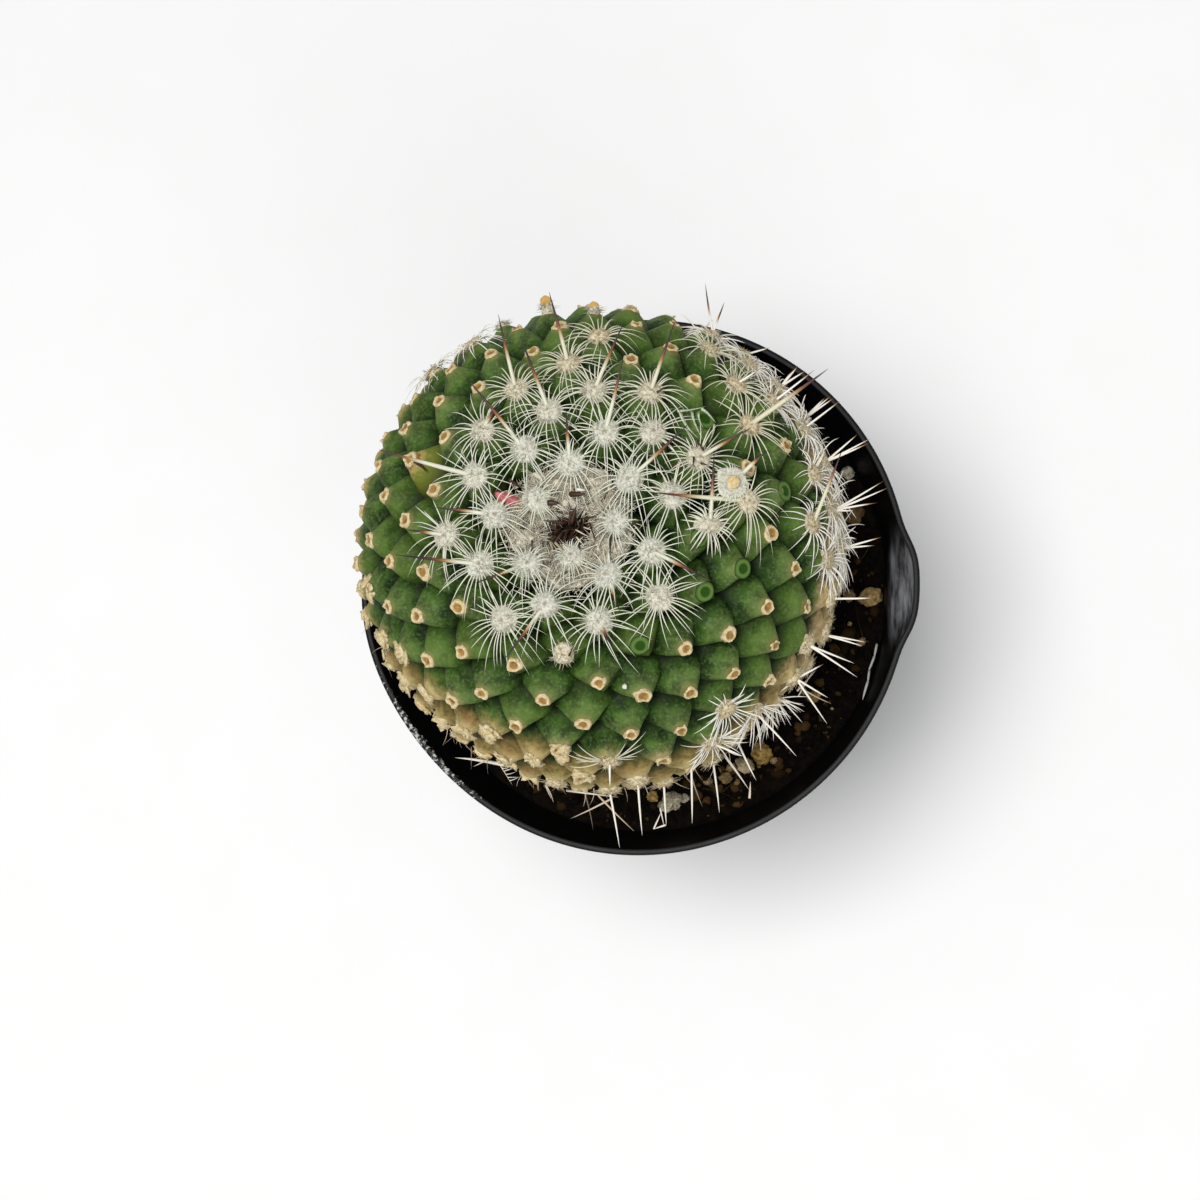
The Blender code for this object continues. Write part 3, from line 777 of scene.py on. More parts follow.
def build_soil():
    """The soil's uneven fill, and the crumbs, stones and fibres that lie on it."""
    chance = random.Random(SEED)
    bottom = BASE_THICKNESS + SOIL_GAP
    top_radius = wall_radius(SOIL_Z) - WALL - SOIL_GAP / 3
    outline = [(top_radius * ring / SOIL_RINGS, SOIL_Z) for ring in range(SOIL_RINGS + 1)]
    low = wall_radius(bottom + HEEL) - WALL - SOIL_GAP
    outline += [(low, bottom + HEEL), (low - HEEL, bottom), (0, bottom)]
    bm = turned(outline, SOIL_SIDES)
    bm.verts.layers.float_vector.new("marks")
    for vertex in bm.verts:
        if vertex.co.z > SOIL_Z - MM:
            vertex.co.z = soil_height(vertex.co.x, vertex.co.y)
    peat = soil_material()
    finish_piece("peat_fill", bm, peat, "soil", "soil")

    bm, marks = new_piece_mesh()
    crumb = rough_ball(1)
    for _ in range(CRUMBS):
        size = mostly_small(chance, *CRUMB_SIZE)
        spot = free_soil_spot(chance, size + SOIL_GAP)
        littered = max(0.0, math.cos(math.atan2(spot.y, spot.x) - LITTER_BEARING)) ** 2
        tone = max(0.0, chance.uniform(-0.6, 0.3 + 0.6 * littered))
        add_lump(bm, marks, crumb, spot, size, 0.7, chance, (0, tone, 0))
    finish_piece("peat_crumbs", bm, peat, "soil")

    bm, marks = new_piece_mesh()
    stone = rough_ball(3)
    for x, y, radius, pale, ochre in PLACED_GRIT:
        spot = Vector((x * MM, y * MM, soil_height(x * MM, y * MM) + SUNK * radius * MM))
        add_lump(bm, marks, stone, spot, radius * MM, 0.75, chance, (pale, ochre, 0))
    stone = rough_ball(2)
    for _ in range(STONES):
        size = mostly_small(chance, *STONE_SIZE)
        spot = free_soil_spot(chance, size + SOIL_GAP) + UP * size * SUNK
        tone = (chance.uniform(0, 0.5), 0.6 * chance.random() ** 3, 0)
        add_lump(bm, marks, stone, spot, size, 0.75, chance, tone)
    finish_piece("pumice_grit", bm, grit_material(), "soil")

    bm, marks = new_piece_mesh()
    shape = needle(4, 6, 0.5)
    for _ in range(SOIL_FIBRES):
        length = chance.uniform(*SOIL_FIBRE_LENGTHS) * MM
        spot = free_soil_spot(chance, 2 * MM) + UP * SOIL_FIBRE_RISE
        direction = level(any_turn(chance)) + UP * chance.uniform(-0.05, 0.1)
        end = spot + direction * length
        if math.hypot(end.x, end.y) > wall_radius(SOIL_Z) - WALL - MM:
            direction.negate()
        bend = direction.cross(UP) * chance.uniform(-0.4, 0.4) * length
        tone = (chance.uniform(0.2, 1.0), 0)
        add_needle(bm, marks, shape, spot, direction, bend, length, SOIL_FIBRE_RADIUS, tone)
    finish_piece("peat_fibres", bm, peat, "soil")


# Spines

NEEDLE_TIP = 0.07
DROOP = Vector((0.02, -0.24, -0.14))
FLANK_FALL = Vector((-0.35, -0.8, -0.35))

# Radials: how many to an areole, their lengths and radii in mm, and their lifts in degrees
RADIALS = (26, 30)
FLANK_RADIALS = (22, 27)
COMB_RADIALS = 14
COMB_ANGLES = (math.radians(48), math.radians(140))
RADIAL_LENGTHS = (4.2, 6.4)
RADIAL_RADII = (0.08, 0.115)
TUFT_RADIUS = 0.15
RADIAL_LIFTS = (5, 48)
CUSHION_LIFTS = (-35, -5)


def needle(sides, rings, taper):
    """A needle of height one and foot radius one, ringed so that it can bend."""
    bm = bmesh.new()
    bmesh.ops.create_cone(
        bm, cap_ends=True, segments=sides, radius1=1, radius2=1, depth=1,
        matrix=Matrix.Translation((0, 0, 0.5)),
    )
    upright = [edge for edge in bm.edges if abs(edge.verts[0].co.z - edge.verts[1].co.z) > 0.5]
    bmesh.ops.subdivide_edges(bm, edges=upright, cuts=rings, use_grid_fill=True)
    for vertex in bm.verts:
        thin = 1 - (1 - NEEDLE_TIP) * vertex.co.z ** taper
        vertex.co.x *= thin
        vertex.co.y *= thin
    return as_shape(bm)


def add_needle(bm, marks, shape, root, direction, bend, length, radius, tone):
    """A copy of a needle from its root, its tip moved by bend and its other two marks a tone."""
    side = direction.orthogonal().normalized()
    other = direction.cross(side)
    for vertex in copy_of(bm, shape):
        across = (side * vertex.co.x + other * vertex.co.y) * radius
        reach = vertex.co.z
        vertex.co = root + direction * (length * reach) + bend * (reach * reach) + across
        vertex[marks] = (reach, *tone)


def spread_of(areole, angle):
    """The way across an areole at an angle, in the plane that its spines spread in."""
    crownward = areole.face.cross(areole.sideways)
    return areole.sideways * math.cos(angle) + crownward * math.sin(angle)


def age_of(areole):
    """How old an areole looks: 0 is fresh and white, 1 is old and creamy."""
    return ODD_AGES.get(areole.index, blend(4, 58, areole.index))


def build_radials(areoles, chance):
    """White radials: they rise from the rim of the wool and arch down on all sides."""
    crown_mesh = new_piece_mesh()
    flank_mesh = new_piece_mesh()
    shape = needle(4, 7, 3.5)
    for areole in areoles:
        flank = SPINED_FLANK_ALONG[0] < areole.along
        # Low spines go to the paler material: partly real bleaching, partly painted light for the weaker
        # light on the flank.
        bleached_and_lightened = areole.along > BLEACHED_AND_LIGHTENED_ALONG
        bm, marks = flank_mesh if bleached_and_lightened else crown_mesh
        cushion = areole.index == SHED_CUSHION
        tuft = areole.index == LOOSE_TUFT
        combed = areole.index == COMBED
        if flank and bearing_of(areole) < PAPERY_BEARING and areole.index not in HAIRY_FOOT:
            continue
        count = chance.randint(*FLANK_RADIALS) if flank else chance.randint(*RADIALS)
        count = COMB_RADIALS if combed else count
        grown = blend(0, 9, areole.index)
        first = any_turn(chance)
        scale = 0.34 if cushion else 0.55 if tuft else 0.62 + 0.38 * grown
        scale *= 0.8 if bleached_and_lightened else 1.0
        swept = Vector([chance.uniform(-0.12, 0.12) for _ in range(3)])
        curl = 0.3 if flank else 1.0
        ring = 1.9 if cushion else 1.35 if grown > 0.5 and not tuft else 1.0
        tone = (2.0, 0.0 if bleached_and_lightened else 0.35 * age_of(areole))
        for number in range(count):
            angle = first + 2 * math.pi * (number + chance.uniform(-0.45, 0.45)) / count
            if combed:
                angle = COMB_ANGLES[number % 2] + chance.uniform(-0.24, 0.24)
            spread = spread_of(areole, angle)
            lift = chance.uniform(*CUSHION_LIFTS if cushion else RADIAL_LIFTS)
            lift = math.radians(lift + 14 * (1 - grown))
            direction = spread * math.cos(lift) + areole.face * math.sin(lift)
            length = chance.uniform(*RADIAL_LENGTHS) * MM * scale
            bend = (areole.face * -chance.uniform(0.25, 0.55) * curl + swept) * length
            bend += DROOP * length * chance.uniform(0.3, 1.5)
            bend += areole.face.cross(spread) * (length * chance.uniform(-0.22, 0.22) * curl)
            if flank:
                direction = (direction + FLANK_FALL * chance.uniform(0.2, 1.1)).normalized()
            root = areole.tip + spread * ring * MM + areole.face * 0.3 * MM
            radius = TUFT_RADIUS if tuft else chance.uniform(*RADIAL_RADII)
            radius *= (1.12 if flank else 1.0) * MM
            add_needle(bm, marks, shape, root, direction, bend, length, radius, tone)
    finish_piece("radial_spines", crown_mesh[0], ivory_needle(), "cactus")
    finish_piece("flank_radials", flank_mesh[0], weathered_lightened_needle(), "cactus")


# Areole, bearing in degrees and length in mm of the stout centrals with dark tips
SEEN_CENTRALS = (
    (4, -157, 8), (5, 92, 8), (6, -68, 6.5), (7, 171, 9), (8, 38, 12), (9, -124, 10), (10, 126, 13.5),
    (11, -28, 10.5), (12, 175, 12), (13, 71, 11.5), (14, -61, 5.5), (15, 167, 14), (18, 110, 11.5),
    (20, 172, 6), (23, 52, 5), (26, 64, 10.5), (29, 28, 8.7), (29, 200, 6), (31, 102, 11),
    (34, 68, 10.5), (37, 178, 14.3), (39, 102, 10.5), (63, 30, 13.9), (92, 66, 11.5),
    (SHED_CUSHION, 42, 4.5), (LOOSE_TUFT, 84, 10.5),
)
# The same for the pale ones that stand out over the soil
SOIL_CENTRALS = (
    (123, 100, 7.9), (123, 70, 5.3), (144, 12, 4), (131, 54, 3.4), (131, 48, 4.4), (131, 32, 4.6),
    (97, 34, 7.5), (152, 46, 4.6), (152, 40, 5.3), (152, 33, 5.6), (118, 35, 6.8), (139, 38, 6.4),
    (139, 23, 7.7), (139, 19, 7.4), (126, 28, 8.6), (126, 19, 8.7), (126, 8, 6.8), (126, -6, 3.1),
    (147, 14, 6.5), (147, 4, 5.3), (134, -3, 6.8), (155, -10, 6.3), (155, -17, 6.1), (121, -24, 7.6),
    (121, -34, 8.8), (142, 27, 4.9), (142, -57, 8.3), (142, -33, 5.8), (142, -140, 3.4),
    (129, -45, 8.8), (116, -21, 4.9), (150, -66, 6.8), (171, -80, 8.0), (137, -88, 8.2),
    (158, -87, 6.5), (124, -86, 8.1), (145, -77, 8.8), (90, -90, 3.6), (76, 30, 4),
)
# Centrals: radii and lengths in mm, and lifts in degrees
CENTRAL_RADIUS = 0.3
SOIL_CENTRAL_RADIUS = 0.165
CENTRAL_TALL = 13.8
CENTRAL_LIFTS = (10, 22)
SOIL_CENTRAL_LIFTS = (-4, 12)
SHED_NEAR_LIFTS = (26, 28)


def build_centrals(areoles, chance):
    """Stout central spines, one or a few to an areole."""
    for name, centrals, radius, taper, skin in (
        ("central_spines", SEEN_CENTRALS, CENTRAL_RADIUS, 2.2, ivory_needle()),
        ("flank_centrals", SOIL_CENTRALS, SOIL_CENTRAL_RADIUS, 3.0, weathered_lightened_needle()),
    ):
        bm, marks = new_piece_mesh()
        shape = needle(7, 7, taper)
        stout = centrals is SEEN_CENTRALS
        lifts = CENTRAL_LIFTS if stout else SOIL_CENTRAL_LIFTS
        for index, bearing, length in centrals:
            areole = areoles[index]
            tall = length > CENTRAL_TALL
            lift = math.radians(chance.uniform(*SHED_NEAR_LIFTS if index == SHED_NEAR else lifts))
            bearing = math.radians(bearing)
            direction = level(bearing) * math.cos(lift) + UP * math.sin(lift)
            length *= MM
            bend = direction.orthogonal().normalized() * length * chance.uniform(-0.05, 0.05)
            root = areole.tip - direction * 0.4 * MM + areole.face * 0.4 * MM
            if index == SHED_CUSHION:
                root += level(bearing) * 2.3 * MM
            late = 0.2 if tall or index == LATE_DARKENED else 0.0
            start = 0.45 + late if stout else 0.5 if index == DARK_TIPPED else 0.86
            start += chance.uniform(-0.06, 0.08) + (0.0 if stout or bearing > PAPERY_BEARING else 1.0)
            tone = (start, 0.1 + 0.4 * age_of(areole) if stout else 0.1)
            thick = radius * (1.2 if tall else 1.0) * MM
            add_needle(bm, marks, shape, root, direction, bend, length, thick, tone)
        finish_piece(name, bm, skin, "cactus")


# Areoles

# Pads of wool: their sizes, and the lengths of their hairs, in mm
PAD_HAIRS = 110
PAD_HAIR_LENGTHS = (0.4, 1.0)
PAD_HAIR_RADIUS = 0.055 * MM
PAD_FLUFF = 0.5 * MM
PAD_SIZE = 2.0
PAD_SHRINK = 0.45
LOOSE_PAD_SIZE = 1.95
STUB_SIZE = 0.95
STUB_AGE = 0.4
CENTRE_TOP = 0.97
CENTRE_TONE = 0.8


def build_wool(areoles, chance):
    """A domed pad of wool on each areole, with short hairs standing out of it."""
    bm, marks = new_piece_mesh()
    pad = rough_ball(3)
    hair = needle(3, 1, 1.0)
    for areole in areoles:
        cushion = areole.index == SHED_CUSHION
        tuft = areole.index == LOOSE_TUFT
        stub = areole.index in STUBS
        age = STUB_AGE if stub else age_of(areole)
        size = LOOSE_PAD_SIZE if cushion or tuft else STUB_SIZE if stub else PAD_SIZE - PAD_SHRINK * age
        size *= {SMALL_TUFT: 0.85, COMBED: 0.75}.get(areole.index, 1.0) * MM
        narrow, wide = (0.65, 1.1) if tuft else (1.0, 1.0)
        flat = 0.2 if cushion else STUBS.get(areole.index, 0.52)
        rough = 0.3 if cushion else 1.0
        seed = Vector((areole.index, 0, 0)) * 3.7
        for vertex in copy_of(bm, pad):
            plain = cushion or tuft or stub or vertex.co.z <= CENTRE_TOP
            fluff = 0.14 * noise.noise(vertex.co * size / PAD_FLUFF + seed)
            spot = vertex.co * (1 + (0.25 * noise.noise(vertex.co * 1.8 + seed) + fluff) * rough)
            if cushion:
                corner = (spot.x ** 4 + spot.y ** 4 + 0.01) ** 0.25 / (spot.xy.length + 0.1)
                spot = Vector((spot.x / corner, spot.y / corner, min(spot.z, 0.6)))
            across = spread_of(areole, 0) * spot.x * narrow
            across += spread_of(areole, math.pi / 2) * spot.y * wide
            vertex.co = areole.tip + (across + areole.face * spot.z * flat) * size
            vertex[marks] = (0, age, 0.0 if plain else CENTRE_TONE)
        for _ in range(0 if cushion else PAD_HAIRS):
            angle = any_turn(chance)
            reach = math.sqrt(chance.random())
            spread = spread_of(areole, angle)
            way = spread_of(areole, any_turn(chance))
            lift = math.radians(chance.uniform(-10, 50) * (1.2 - reach))
            direction = (way * 0.8 + spread * reach) * math.cos(lift) + areole.face * math.sin(lift)
            dome = flat * math.sqrt(max(0.0, 1 - reach * reach)) - 0.03
            root = areole.tip + spread * reach * size * narrow + areole.face * dome * size
            length = chance.uniform(*PAD_HAIR_LENGTHS) * MM
            bend = way.cross(areole.face) * length * chance.uniform(-0.5, 0.5)
            add_needle(bm, marks, hair, root, direction, bend, length, PAD_HAIR_RADIUS, (age, 0))
    finish_piece("areole_wool", bm, wool_material(), "cactus")


WEB_HAIRS = 34
WEB_HAIR_LENGTHS = (1.5, 3.0)
WEB_HAIR_RADIUS = 0.07 * MM
WEB_MARGIN = 0.05


def build_flank_web(areoles, chance):
    """Dry hairs matted over the old tubercles of the flank that kept their spines."""
    bm, marks = new_piece_mesh()
    shape = needle(3, 4, 2.0)
    for areole in areoles:
        if areole.along < SPINED_FLANK_ALONG[0] - WEB_MARGIN or bearing_of(areole) < PAPERY_BEARING:
            continue
        for _ in range(WEB_HAIRS):
            spread = spread_of(areole, any_turn(chance))
            direction = spread_of(areole, any_turn(chance))
            direction = (direction + areole.face * chance.uniform(-0.1, 0.25)).normalized()
            direction = (direction + FLANK_FALL * chance.uniform(0.0, 0.9)).normalized()
            length = chance.uniform(*WEB_HAIR_LENGTHS) * MM
            root = areole.tip + spread * chance.uniform(0.3, 2.0) * MM
            root -= areole.face * chance.uniform(-0.2, 0.9) * MM
            bend = areole.face.cross(direction) * (length * chance.uniform(-0.15, 0.15))
            bend -= areole.face * length * 0.3
            tone = (2.0, chance.uniform(0.0, 0.35))
            add_needle(bm, marks, shape, root, direction, bend, length, WEB_HAIR_RADIUS, tone)
    finish_piece("flank_web", bm, weathered_lightened_needle(), "cactus")


SCAR_OUTLINE = (  # radius and height over the tip in mm
    (0, 0.26), (0.4, 0.2), (0.62, 0.24), (0.82, 0.44), (1.0, 0.46), (1.2, 0.2), (1.35, -0.4), (0, -0.9),
)
SCAR_WIDEST = 1.35 * MM
SCAR_TEAR = 0.8 * MM
SCAR_SIZES = (0.8, 1.0)
SCAR_OLD = (0.45, 0.95)
FRESH_SIZE = 1.35
FRESH_FLATNESS = 0.32
KNOB_SIZE = 1.3
RAGGED_BEARING = math.radians(-125)
RAGGED_SPREAD = math.radians(50)
RAGGED_ALONG = (0.6, 1.0)
RAGS = (6, 10)
RAG_SIZES = (0.55, 1.4)
YELLOW_CHANCE = 0.2
YELLOW_TONE = 0.35


def build_scars(areoles, chance):
    """A small torn crater where an areole and its spines were shed."""
    bm, marks = new_piece_mesh()
    shape = as_shape(turned(SCAR_OUTLINE, 18, MM))
    for areole in areoles:
        fresh = areole.index in FRESH_PITS
        old = blend(*SCAR_OLD, areole.along)
        seed = Vector((0, areole.index, 0)) * 2.3
        ragged = dent_share(areole.turn, RAGGED_BEARING, RAGGED_SPREAD, 4)
        size = chance.uniform(*SCAR_SIZES)
        size *= FRESH_SIZE if fresh else 1 + 0.2 * old * (2.2 * ragged - 1.2)
        size *= KNOB_SIZE if areole.index == KNOBBED else 1.0
        facing = (areole.face * 0.5 + areole.axis * 0.5).normalized()
        crownward = facing.cross(areole.sideways)
        for vertex in copy_of(bm, shape):
            wide = math.hypot(vertex.co.x, vertex.co.y)
            tear = 0.1 if fresh else 0.28 + 0.4 * old
            tear *= noise.noise(vertex.co / SCAR_TEAR + seed)
            spot = vertex.co * (size * (1 + tear))
            spot.z += 0.9 * MM * tear * wide / SCAR_WIDEST
            spot.z *= (FRESH_FLATNESS if fresh else 1.0) * (1 - 0.35 * vertex.co.y / SCAR_WIDEST)
            across = areole.sideways * spot.x + crownward * spot.y * 0.9
            vertex.co = areole.tip + across + facing * (spot.z - 0.05 * MM)
            vertex[marks] = (wide / SCAR_WIDEST, 1.0 if fresh else 0.0, 0)
    finish_piece("areole_scars", bm, scar_material(), "cactus")


def build_rags(areoles, chance):
    """Torn, papery flakes of pale cork round the old scars at the front left."""
    bm, marks = new_piece_mesh()
    flake = rough_ball(2)
    for areole in areoles:
        away = abs(math.remainder(areole.turn - RAGGED_BEARING, 2 * math.pi)) / RAGGED_SPREAD
        if away > 1 or not RAGGED_ALONG[0] < areole.along < RAGGED_ALONG[1]:
            continue
        yellow = YELLOW_TONE if chance.random() < YELLOW_CHANCE else 0.0
        for _ in range(chance.randint(*RAGS)):
            spread = spread_of(areole, any_turn(chance))
            other = areole.face.cross(spread)
            size = chance.uniform(*RAG_SIZES) * MM
            tilt = chance.uniform(-0.5, 0.9)
            upward = (areole.face + spread * tilt).normalized()
            length_way = (spread - areole.face * tilt).normalized()
            middle = areole.tip + spread * chance.uniform(0.3, 1.5) * MM
            middle += areole.face * chance.uniform(-0.4, 0.45) * MM
            seed = any_seed(chance)
            for vertex in copy_of(bm, flake):
                spot = vertex.co * (1 + 0.8 * noise.noise(vertex.co * 1.6 + seed))
                place = length_way * spot.x + other * spot.y * 0.75 + upward * spot.z * 0.28
                vertex.co = middle + place * size
                vertex[marks] = (1.0, 0, yellow)
    finish_piece("cork_rags", bm, scar_material(), "cactus")


# Dry fibres in mm: start and end with the height over the soil, radius, warmth, and slide to the camera
PLACED_FIBRES = (
    ((-22.3, -28.1, 11), (-28.9, -26.6, 10), 0.3, 0.3, 15),
    ((-24.4, -27.9, 10), (-27.0, -28.7, 7), 0.12, 0.6, 16),
    ((-27.5, -24.1, 11), (-28.4, -26.2, 6), 0.1, 1.7, 16),
    ((-15.2, -31.5, 12), (-15.9, -32.6, 9), 0.12, 1.1, 13),
    ((-13.7, -32.4, 12), (-13.7, -33.9, 9), 0.12, 0.8, 13),
    ((-13.3, -32.6, 12), (-12.9, -34.0, 9), 0.1, 0.6, 13),
    ((-9.2, -32.7, 12), (-2.4, -33.6, 13), 0.18, 0.4, 12),
    ((-5.0, -34.3, 10), (-10.7, -37.0, 7), 0.16, 0.8, 13),
    ((-5.0, -34.3, 10), (-1.2, -38.8, 7), 0.16, 1.1, 13),
    ((-7.8, -33.3, 11), (-7.2, -38.2, 5), 0.12, 1.8, 12),
    ((2.9, -38.3, 9), (2.6, -38.4, 9), 0.16, 0.3, 17),
    ((3.2, -37.0, 9), (3.8, -35.7, 9), 0.14, 0.3, 17),
    ((3.9, -36.7, 9), (4.2, -38.0, 9), 0.12, 0.3, 17),
    ((15.0, -28.3, 15), (17.8, -32.3, 11), 0.22, 0.4, 5),
    ((17.8, -32.3, 11), (17.9, -31.2, 11), 0.2, 0.6, 5),
    ((9.1, -31.3, 12), (9.5, -35.1, 5), 0.14, 1.6, 9),
    ((26.8, -17.9, 17), (30.1, -19.9, 13), 0.16, 1.0, 2),
    ((26.7, -17.0, 19), (28.6, -14.8, 18), 0.16, 0.5, 0),
    ((26.6, -17.6, 19), (28.5, -14.3, 19), 0.1, 0.5, 0),
    ((-21.2, -28.8, 11), (-19.6, -31.5, 10), 0.09, 0.8, 15),
)
FIBRE_ROOT = 1.5 * MM
COMB_START = Vector((-21.1, -28.9, 11))
COMB_STEP = Vector((0.3, -0.5, 0))
COMB_SLIDE = 15
COMB_TEETH = 5
COMB_TOOTH_LENGTHS = (1.4, 2.2)
COMB_TOOTH_RADIUS = 0.065 * MM
FOOT_FIBRES = 60
FOOT_FIBRE_LENGTHS = (1.2, 4.0)
FOOT_FIBRE_RADII = (0.04, 0.08)
FOOT_ALONG = (0.85, 1.35)
FOOT_BEARINGS = (math.radians(-165), math.radians(-45))


def build_foot_fibres(areoles, chance):
    """Dry spines and dead roots that hang between the plant's foot and the soil."""
    bm, marks = new_piece_mesh()
    shape = needle(5, 6, 2.0)
    for start, end, radius, warmth, slide in PLACED_FIBRES:
        root = slid(start, slide)
        way = slid(end, slide) - root
        bend = (UP + way.normalized().orthogonal()) * way.length * chance.uniform(-0.1, 0.1)
        root -= way.normalized() * FIBRE_ROOT
        way += way.normalized() * FIBRE_ROOT
        tone = (2.0, warmth)
        add_needle(bm, marks, shape, root, way.normalized(), bend, way.length, radius * MM, tone)
    for tooth in range(COMB_TEETH):
        root = slid(COMB_START + COMB_STEP * tooth, COMB_SLIDE)
        direction = Vector((0.9, chance.uniform(-0.3, 0.3), -0.3)).normalized()
        length = chance.uniform(*COMB_TOOTH_LENGTHS) * MM
        bend = Vector((0, chance.uniform(-0.4, 0.4), -0.2)) * length
        add_needle(bm, marks, shape, root, direction, bend, length, COMB_TOOTH_RADIUS, (2.0, 0.0))
    low = [areole for areole in areoles if FOOT_ALONG[0] < areole.along < FOOT_ALONG[1]
           and FOOT_BEARINGS[0] < bearing_of(areole) < FOOT_BEARINGS[1]]
    for _ in range(FOOT_FIBRES):
        areole = chance.choice(low)
        root = areole.tip + areole.sideways * chance.uniform(-2, 2) * MM
        direction = level(areole.turn) * chance.uniform(0.3, 1.0) - UP * chance.uniform(0.2, 1.0)
        direction = (direction + areole.sideways * chance.uniform(-0.7, 0.7)).normalized()
        length = chance.uniform(*FOOT_FIBRE_LENGTHS) * MM
        bend = areole.sideways * length * chance.uniform(-0.4, 0.4) - UP * length * 0.3
        tone = (2.0, chance.uniform(0.5, 1.9))
        radius = chance.uniform(*FOOT_FIBRE_RADII) * MM
        add_needle(bm, marks, shape, root, direction, bend, length, radius, tone)
    finish_piece("foot_fibres", bm, weathered_lightened_needle(), "cactus")


# Torn bands in mm: start, way and bend to the right and up as seen from above, and radius
TORN_LOOP = (
    ((-3.8, 0.6), (3.3, 0.3), (0.4, 0.7), 0.2), ((-0.7, 1.2), (1.7, -0.8), (0.3, -1.2), 0.24),
    ((-3.4, 0.3), (1.2, -4.0), (1.3, 0.4), 0.26), ((-1.9, 0.6), (0.4, -3.4), (1.3, -0.8), 0.22),
    ((-1.0, 0.5), (-0.2, -1.9), (0.9, -0.3), 0.18), ((1.1, -1.1), (0.1, -2.8), (-0.7, 0.0), 0.2),
)
LOOP_RISE = 0.55 * MM

# Areole, height over its tip and radius in mm, and yellowness
DRIED_DISCS = ((SHED_CUSHION, 0.4, 0.95, 0.25), (94, 1.0, 0.75, 0.85), (107, 2.0, 0.8, 0.85))
DISC_FLATNESS = 0.35

# Brown slits in the torn tubercle in mm: start and end along it, sideways reach and radius
SLITS = ((0.6, 3.0, 0.5, 0.34), (0.5, 2.2, -0.3, 0.24), (1.6, 3.4, 0.9, 0.2))
SLIT_RISE = 0.12 * MM
BITTEN = (SMALL_TUFT, 29, 29, 29, 34)
BIT_LENGTHS = (1.0, 2.2)
BIT_RADIUS = 0.16 * MM
BIT_RISE = 1.1 * MM
SAP_NEAR = 35
SAP_PLACE = Vector((3.5, -0.5, -0.9))
SAP_RADIUS = 0.38 * MM


def build_details(areoles, chance):
    """The upturned shed cushion, torn and dried places and a bead of sap."""
    bm, marks = new_piece_mesh()
    disc = rough_ball(3)
    for index, rise, size, yellow in DRIED_DISCS:
        areole = areoles[index]
        for vertex in copy_of(bm, disc):
            spot = vertex.co * (1 + 0.15 * noise.noise(vertex.co * 2.0)) * size
            spot.z *= DISC_FLATNESS
            vertex.co = areole.tip + (spot + areole.face * rise) * MM
            vertex[marks] = (1.0, 0, yellow)
    finish_piece("cushion_bases", bm, scar_material(), "cactus")

    bm, marks = new_piece_mesh()
    shape = needle(6, 5, 1.5)
    brown = (2.0, 2.0)
    torn = areoles[TORN]
    for start, end, side, radius in SLITS:
        root = torn.tip + (torn.crownward * start - torn.axis * start * 0.45) * MM
        root += torn.face * SLIT_RISE
        way = torn.crownward * (end - start) - torn.axis * (end - start) * 0.55 + torn.sideways * side
        way *= MM
        add_needle(bm, marks, shape, root, way.normalized(), Vector(), way.length, radius * MM, brown)
    for index in BITTEN:
        areole = areoles[index]
        turn = any_turn(chance)
        root = areole.tip + spread_of(areole, turn) * MM + areole.face * BIT_RISE
        direction = (spread_of(areole, turn + 1.2) + areole.face * 0.2).normalized()
        length = chance.uniform(*BIT_LENGTHS) * MM
        bend = areole.face * length * 0.2
        add_needle(bm, marks, shape, root, direction, bend, length, BIT_RADIUS, brown)
    finish_piece("dried_bits", bm, ivory_needle(), "cactus")

    bm, marks = new_piece_mesh()
    loop = areoles[LOOPED]
    slope = Vector((loop.face.x, loop.face.y)) / loop.face.z
    for *points, radius in TORN_LOOP:
        start, way, bend = [Vector((x, y, -slope.dot(Vector((x, y))))) * MM for x, y in points]
        root = loop.tip + start + loop.face * LOOP_RISE
        add_needle(bm, marks, shape, root, way.normalized(), bend, way.length, radius * MM, (0, 0))
    finish_piece("torn_fibres", bm, torn_material(), "cactus")

    bm, marks = new_piece_mesh()
    spot = areoles[SAP_NEAR].tip + SAP_PLACE * MM
    for vertex in copy_of(bm, rough_ball(2)):
        vertex.co = spot + vertex.co * SAP_RADIUS * (1 + 0.3 * noise.noise(vertex.co * 1.7))
        vertex[marks] = (0, 2.0, 0)
    finish_piece("dried_sap", bm, ivory_needle(), "cactus")


# Tubercles and the body

CORE_STEPS = 40
CORE_END = 1.95


def core_outline():
    """The body under the tubercles, from the crown down to the tip of the root."""
    outline = []
    for step in range(CORE_STEPS):
        along = CORE_END * step / CORE_STEPS
        radius, height = tip_surface(along)
        radial, upward = slope_at(along)
        inner = max(0.0, radius - TUBERCLE_HEIGHT * radial) if step else 0.0
        outline.append((inner, height - TUBERCLE_HEIGHT * upward))
    outline += [(radius * MM, SOIL_Z - depth * MM) for radius, depth in ROOT_STOCK]
    return outline


def scale_reach(cosine, sine):
    """How far a tubercle's scale-like section reaches: flat on top, keeled underneath."""
    height = CROWNWARD_FLATNESS if sine > 0 else 1.0
    roundness = CROWNWARD_ROUNDNESS if sine > 0 else SOILWARD_ROUNDNESS
    return (abs(cosine) ** roundness + abs(sine / height) ** roundness) ** (-1 / roundness)


